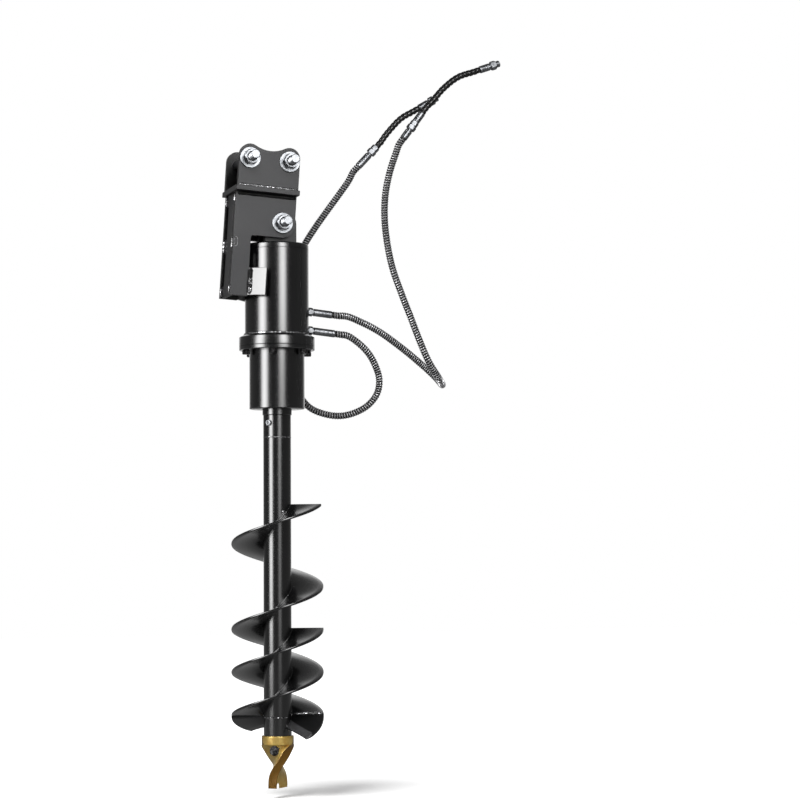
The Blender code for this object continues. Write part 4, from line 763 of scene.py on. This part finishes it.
# The cutting blades: sectors of 9.4 mm wear plate that carry each flight's end down, more at the tip than at
# the hub, with the top of the leading edge ground to a 13 mm bevel, which is the paler for it.
wear_plate = mottled(
    "ground_wear_plate", "#0d0d0e", "#1c1c1d", 130, 6, 0.65, gloss=0.36, relief=(0.2, 0.0005), IOR=1.55
)
ground_bevel = wear_plate.copy()
ground_bevel.name = "ground_blade_bevel"
ramp = ground_bevel.node_tree.nodes["Color Ramp"].color_ramp
ramp.elements[0].color = linear("#2c2c2d")
ramp.elements[1].color = linear("#6a6a6c")
blade_depth = 0.0094
blade_land = 0.002
bevel_width = 0.013
body_steps, bevel_steps = 32, 7
under_flight = 0.0098
corner_swing, corner_wear = 0.12, 0.006
for number, start_turn, span, hub_fall, tip_fall in (
    (1, front_side + math.pi, 52, 0.0195, 0.0349), (2, front_side, 50, 0.0214, 0.0424),
):
    span = math.radians(span)
    radius, below = plate_section[None, :, 0], plate_section[None, :, 1] / flight_thickness
    outwards = (radius - flight_inner) / (flight_outer - flight_inner)
    bevelled = span - bevel_width / radius
    body = np.linspace(0, 1, body_steps + 1)[:, None]
    edge = np.linspace(0, 1, bevel_steps + 1)[1:, None]
    swing = np.vstack((under_flight + (bevelled - under_flight) * body, bevelled + (span - bevelled) * edge))
    ground = np.vstack((0 * body, edge)) * (blade_depth - blade_land)
    # The outer corner is worn round: the radius shrinks by the square of the last part of the swing.
    worn = corner_wear * np.clip((swing - span + corner_swing) / corner_swing, 0, 1) ** 2 * outwards**6
    fall = (hub_fall + (tip_fall - hub_fall) * outwards) * np.sin(swing) / math.sin(span)
    depth = below * blade_depth + (1 - below) * ground
    reach = radius - worn
    turn = start_turn - swing
    grid = np.stack((reach * np.cos(turn), reach * np.sin(turn), flight_bottom - fall - depth), axis=-1)
    blade = skin(f"cutting_blade_plate_{number}", [pivot + grid], wear_plate, sharp=12)
    blade.data.materials.append(ground_bevel)
    finish_of = np.zeros(len(blade.data.polygons), np.int32)
    finish_of[body_steps * grid.shape[1] : (body_steps + bevel_steps) * grid.shape[1]] = 1
    blade.data.polygons.foreach_set("material_index", finish_of)
    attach(blade, "output")
    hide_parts(f"cutting_blade_{number}")

# The auger's welds: a fillet along the top of each flight, a cap over each blade's joint, part of a ring
# above the bit, a ring at the sleeve, and short runs at the top flight's start and a blade's hub.
beads, fillets = [], []
for number, (_, turns, end_turn) in enumerate(flights):
    above = np.linspace(0.012, turns, round(turns * 330))
    turn = end_turn + math.tau * above
    seam = np.stack((0.0311 * np.cos(turn), 0.0311 * np.sin(turn), flight_bottom + flight_pitch * above), axis=1)
    fillets.append(weld_bead(pivot + seam, unit(seam * (1, 1, 0)) + np.array((0, 0, 1.0)), 0.0022, seed=number))
    reach = np.linspace(0.036, 0.099, 110)[:, None]
    seam = np.array((math.cos(end_turn), math.sin(end_turn), 0)) * reach + (0, 0, flight_bottom - 0.0002)
    beads.append(weld_bead(pivot + seam, (0, 0, 1), 0.0034, seed=3 + number))
for radius, height, size, seed, arc in ((0.0306, -1.0956, 0.0016, 9, (-195, -60)), (0.0300, -0.4754, 0.0014, 2, ())):
    beads.append(weld_bead(pivot + ring_seam(radius, height, *arc), unit(ring_seam(1, 0, *arc)), size, seed=seed))
for first, last, high, low, size in ((-80, -76, -0.637, -0.660, 0.0028), (-66, -50, -1.112, -1.127, 0.0030)):
    share = np.linspace(0, 1, 40)
    turn = np.radians(first + (last - first) * share)
    height = high + (low - high) * share
    seam = np.stack((tube_radius * np.cos(turn), tube_radius * np.sin(turn), height), axis=1)
    beads.append(weld_bead(pivot + seam, unit(seam * (1, 1, 0)), size, seed=size * 900))
for name, lines, finish in (("auger_welds", beads, weld_coat), ("auger_fillets", fillets, gloss_enamel)):
    laid = skin(name, lines, finish, sharp=60)
    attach(laid, "output")

# The pilot bit: a forged boss drawn out to a flat bar, twisted a third of a turn to the right and split at
# its tip, in a clear gold lacquer over bright steel. The bar's narrow flanks get a darker brown, painted shade
# for the dark they mirror, which sets the twist off against the broad faces.
gold_lacquer_and_shade = mottled(
    "gold_lacquer_and_painted_shade", "#dba94a", "#fbdf84", 55, 5, 0.6, (0.3, 0.7),
    gloss=0.33, relief=(0.12, 0.0006), Metallic=0.22,
)
tree = gold_lacquer_and_shade.node_tree
# Painted shade: the flank mask mixes a darker brown over the lacquer's tone.
flank = add(tree, "ShaderNodeAttribute", attribute_name="flank")
tones = {"Fac": flank.outputs["Fac"], "Color1": tree.nodes["Color Ramp"], "Color2": linear("#8c6420")}
painted_shade_flanks = add(tree, "ShaderNodeMixRGB", tones)
tree.links.new(painted_shade_flanks.outputs["Color"], tree.nodes["Principled BSDF"].inputs["Base Color"])

bit_length = 0.1145
bit_radius = 0.0356
bit_top = -1.1363
# Shares of the bit's length, of its radius for the bar's half width and half thickness, and of a half turn.
bit_shares = np.array([
    (0.172, 0.940, 0.520, 0.080),
    (0.205, 0.935, 0.465, 0.145),
    (0.250, 0.928, 0.425, 0.215),
    (0.303, 0.915, 0.395, 0.272),
    (0.345, 0.900, 0.372, 0.302),
    (0.382, 0.890, 0.352, 0.328),
    (0.420, 0.880, 0.332, 0.357),
    (0.460, 0.870, 0.315, 0.388),
    (0.500, 0.855, 0.302, 0.420),
    (0.530, 0.845, 0.294, 0.446),
    (0.560, 0.835, 0.290, 0.474),
    (0.590, 0.825, 0.290, 0.502),
    (0.620, 0.815, 0.292, 0.526),
    (0.650, 0.805, 0.296, 0.550),
    (0.680, 0.795, 0.300, 0.572),
    (0.710, 0.785, 0.304, 0.592),
    (0.745, 0.775, 0.308, 0.611),
    (0.785, 0.765, 0.311, 0.628),
    (0.830, 0.755, 0.312, 0.642),
    (0.880, 0.748, 0.312, 0.652),
    (0.940, 0.740, 0.311, 0.658),
    (1.000, 0.728, 0.309, 0.660),
])
drop = np.linspace(0.172, 1, 90)
kernel = np.hanning(7) / np.hanning(7).sum()
width, thickness, twist = (
    np.convolve(np.pad(np.interp(drop, bit_shares[:, 0], column), 3, "edge"), kernel, "valid")
    for column in bit_shares[:, 1:].T
)
boss = np.concatenate(((0.0,), np.linspace(0.012, 0.156, 14), (0.165,)))
boss_width = np.where(boss < 0.01, 0.985, np.where(boss > 0.16, 0.99, 1.0))
height = np.concatenate((boss, drop))[:, None]
width = np.concatenate((boss_width, width))[:, None]
thickness = np.concatenate((boss_width, thickness))[:, None]
# The boss is round and the bar a superellipse with nearly square corners.
power = np.concatenate((0 * boss + 2, 0 * drop + 14))[:, None]
turn = np.linspace(0, math.tau, 96, endpoint=False)[None]
across = bit_radius * width * np.sign(np.cos(turn)) * np.abs(np.cos(turn)) ** (2 / power)
through = bit_radius * thickness * np.sign(np.sin(turn)) * np.abs(np.sin(turn)) ** (2 / power)
lean = front_side - math.pi * np.concatenate((0 * boss, twist))[:, None]
grid = np.stack((
    across * np.cos(lean) - through * np.sin(lean),
    across * np.sin(lean) + through * np.cos(lean),
    bit_top - bit_length * height + 0 * across,
), axis=-1)
bit = skin("twisted_pilot_bit", [pivot + grid], gold_lacquer_and_shade, sharp=40)
# The flanks: on the bar all that lies within 45 degrees of its width, and on the boss two slivers that widen
# from 8 to 29 degrees with the drop.
opening = np.where(height < 0.17, np.tan(np.radians(8 + 21 * height / 0.165)), 1.0)
on_flank = np.abs(np.sin(turn)) < opening * np.abs(np.cos(turn))
bit.data.attributes.new("flank", "FLOAT", "POINT").data.foreach_set("value", on_flank.astype(float).ravel())


def carve(target, grids):
    """Cuts closed shapes out of a piece and keeps the result as its mesh."""
    tool = skin("carving_shape", grids, target.data.materials[0])
    cut = target.modifiers.new("carve", "BOOLEAN")
    cut.operation = "DIFFERENCE"
    cut.object = tool
    whole = bpy.data.meshes.new_from_object(target.evaluated_get(bpy.context.evaluated_depsgraph_get()))
    target.modifiers.clear()
    target.data = whole
    whole.shade_smooth()
    whole.set_sharp_from_angle(angle=math.radians(40))
    bpy.data.objects.remove(tool)


# The tip is split by a wedge-shaped notch, and the set screw's hexagon sits on the bar's broad face.
wedge_side = np.array((math.cos(front_side), math.sin(front_side), 0))
wedge_deep = np.array((-math.sin(front_side), math.cos(front_side), 0))
wedge_tip = pivot + (0, 0, bit_top - bit_length)
wedge_outline = ((-0.0027, -0.004), (0.0027, -0.004), (0.0022, 0.008), (0.0, 0.013), (-0.0022, 0.008))
carve(bit, [np.array([
    [wedge_tip + wedge_side * x + wedge_deep * depth + (0, 0, z) for x, z in wedge_outline] for depth in (-0.03, 0.03)
])])
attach(bit, "output")
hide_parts("pilot_bit")

bolt_turn = math.radians(camera_side - 21)
bit_bolt_way = np.array((math.cos(bolt_turn), math.sin(bolt_turn), 0))
bit_bolt_seat = pivot + (0, 0, bit_top - 0.0323) + bit_bolt_way * 0.0158
rows = [(-0.033, 0.005, 0), (0.0003, 0.005, 0), *hexagon_rows(0.0003, 0.0071, 0.0203)]
bit_bolt = spun("pilot_bit_bolt", rows, bit_bolt_seat, bit_bolt_way, black_oxide, columns=60)
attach(bit_bolt, "output")
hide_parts("pilot_bolt")

# The studio floor: white to the camera, and whiter still further off, so that only the soft shadow near the
# drive shows. To gloss it is a dim grey, and to all other light a dark one.
scene = bpy.context.scene
scene.view_settings.view_transform = "Standard"
floor_height = pivot[2] - 1.2730
floor_half = 9
floor_mesh = bpy.data.meshes.new("studio_floor")
corners = [(x * floor_half, y * floor_half, floor_height) for x, y in ((-1, -1), (1, -1), (1, 1), (-1, 1))]
floor_mesh.from_pydata(corners, [], [(0, 1, 2, 3)])
studio_floor = bpy.data.objects.new("studio_floor", floor_mesh)
scene.collection.objects.link(studio_floor)
white_floor = bpy.data.materials.new("white_studio_floor")
white_floor.use_nodes = True
tree = white_floor.node_tree
tree.nodes.clear()
path = add(tree, "ShaderNodeLightPath").outputs
chalk = add(tree, "ShaderNodeMapRange", {"Value": path["Is Camera Ray"], "To Min": 0.12, "To Max": 0.62})
lit = add(tree, "ShaderNodeBsdfDiffuse", {"Color": chalk})
place = add(tree, "ShaderNodeTexCoord").outputs["Object"]
level = add(tree, "ShaderNodeVectorMath", {0: place, 1: (1, 1, 0)}, operation="MULTIPLY")
near = add(tree, "ShaderNodeVectorMath", {0: level}, operation="LENGTH").outputs["Value"]
whitening = {"Value": near, "From Min": 0.3, "From Max": 0.9, "To Min": 0.36, "To Max": 1.0}
far_white = add(tree, "ShaderNodeMapRange", whitening)
gloss_part = add(tree, "ShaderNodeMath", {0: path["Is Glossy Ray"], 1: 0.2}, operation="MULTIPLY")
seen = add(tree, "ShaderNodeMath", {0: path["Is Camera Ray"], 1: gloss_part}, operation="MAXIMUM")
lift = add(tree, "ShaderNodeMath", {0: seen, 1: far_white}, operation="MULTIPLY")
glow = add(tree, "ShaderNodeEmission", {"Color": (1, 1, 1, 1), "Strength": lift})
both = add(tree, "ShaderNodeAddShader", {0: lit, 1: glow})
add(tree, "ShaderNodeOutputMaterial", {"Surface": both})
floor_mesh.materials.append(white_floor)

# The surround: white to the camera, weak to diffuse rays, and to gloss white only ahead, where the backdrop
# hangs, so that enamel stays black beside its stripes.
world = bpy.data.worlds.new("white_surround")
scene.world = world
world.use_nodes = True
tree = world.node_tree
tree.nodes.clear()
path = add(tree, "ShaderNodeLightPath").outputs
direction = add(tree, "ShaderNodeTexCoord").outputs["Generated"]
ahead = add(tree, "ShaderNodeVectorMath", {0: direction, 1: (0.31, 0.95, 0.06)}, operation="DOT_PRODUCT")
whitening = {"Value": ahead.outputs["Value"], "From Min": 0.8, "From Max": 0.95, "To Min": 0.16, "To Max": 1.0}
backdrop = add(tree, "ShaderNodeMapRange", whitening)
clear = {0: path["Is Camera Ray"], 1: path["Is Transmission Ray"]}
seen = add(tree, "ShaderNodeMath", clear, operation="MAXIMUM")
mirrored = add(tree, "ShaderNodeMath", {0: path["Is Glossy Ray"], 1: backdrop}, operation="MULTIPLY")
bright = add(tree, "ShaderNodeMath", {0: seen, 1: mirrored}, operation="MAXIMUM")
diffuse_only = add(tree, "ShaderNodeMath", {0: path["Is Diffuse Ray"], 1: 0.24}, operation="MULTIPLY")
strength = add(tree, "ShaderNodeMath", {0: bright, 1: diffuse_only}, operation="MAXIMUM")
sky = add(tree, "ShaderNodeBackground", {"Color": (1, 1, 1, 1), "Strength": strength})
add(tree, "ShaderNodeOutputWorld", {"Surface": sky})

# The soft lights: two tall panels on a circle about the drive, which only gloss sees, as long stripes. Each
# has the angles of its two edges, its power, and its gains at heights from the foot up.
panel_distance = 3.2
panel_columns = 24
for name, low, high, power, gains in (
    ("left_soft_light", -71, -35, 15.0, ((-1.25, 0.8), (-0.6, 0.84), (-0.15, 0.9), (0.1, 0.96), (1.9, 1.0))),
    (
        "right_soft_light", 5, 36, 12.5,
        ((-1.25, 0.15), (-0.6, 0.19), (-0.36, 0.25), (-0.15, 0.30), (-0.08, 1.08), (1.9, 1.1)),
    ),
):
    share = np.linspace(0, 1, panel_columns)
    swing = np.radians(low + (high - low) * share + camera_side)
    height, gain = np.array(gains).T[..., None]
    height = height + 0 * share
    ring = (pivot[0] + panel_distance * np.cos(swing) + 0 * height, panel_distance * np.sin(swing) + 0 * height)
    panel_mesh = bpy.data.meshes.new(name)
    index = np.arange(height.size).reshape(height.shape)
    quads = np.stack((index[:-1, :-1], index[:-1, 1:], index[1:, 1:], index[1:, :-1]), axis=-1)
    panel_mesh.from_pydata(np.stack((*ring, height), axis=-1).reshape(-1, 3), [], quads.reshape(-1, 4).tolist())
    # The light fades towards its upright edges by the sine of its width, as cloth over a lamp does, and
    # towards its foot, where the lamp hangs further off.
    fade = panel_mesh.attributes.new("fade", "FLOAT", "POINT")
    fade.data.foreach_set("value", (gain * np.sin(share * math.pi) ** 0.8).ravel().astype(np.float32))
    glowing = bpy.data.materials.new(name)
    glowing.use_nodes = True
    tree = glowing.node_tree
    tree.nodes.clear()
    glossy = add(tree, "ShaderNodeLightPath").outputs["Is Glossy Ray"]
    powered = add(tree, "ShaderNodeMath", {0: glossy, 1: power}, operation="MULTIPLY")
    faded = {0: powered, 1: add(tree, "ShaderNodeAttribute", attribute_name="fade").outputs["Fac"]}
    strength = add(tree, "ShaderNodeMath", faded, operation="MULTIPLY")
    glow = add(tree, "ShaderNodeEmission", {"Color": (1, 1, 1, 1), "Strength": strength})
    add(tree, "ShaderNodeOutputMaterial", {"Surface": glow})
    panel_mesh.materials.append(glowing)
    panel = bpy.data.objects.new(name, panel_mesh)
    panel.visible_camera = False
    panel.visible_shadow = False
    panel.visible_diffuse = False
    scene.collection.objects.link(panel)


def soft_lamp(name, size, energy, location, target, floor_state):
    """An area lamp aimed at a point and unseen in gloss, which lights the floor alone or all but the floor."""
    lamp = bpy.data.lights.new(name, "AREA")
    lamp.shape = "RECTANGLE"
    lamp.size, lamp.size_y = size
    lamp.energy = energy
    made = bpy.data.objects.new(name, lamp)
    made.location = location
    made.rotation_euler = (Vector(target) - Vector(location)).to_track_quat("-Z", "Y").to_euler()
    made.visible_glossy = False
    receivers = bpy.data.collections.new(name + "_receivers")
    receivers.objects.link(studio_floor)
    receivers.collection_objects[0].light_linking.link_state = floor_state
    made.light_linking.receiver_collection = receivers
    scene.collection.objects.link(made)


# The lamps: a broad key from the front left for the drive, and one further round that only lays the drive's
# soft shadow on the floor, to the right and back.
soft_lamp("key_lamp", (1.4, 1.8), 118, (-1.0, -3.2, 2.4), (0.05, 0, -0.7), "EXCLUDE")
soft_lamp("floor_lamp", (1.8, 1.8), 245, (-1.78, -1.47, 1.55), (0.2, 0, -1.2), "INCLUDE")
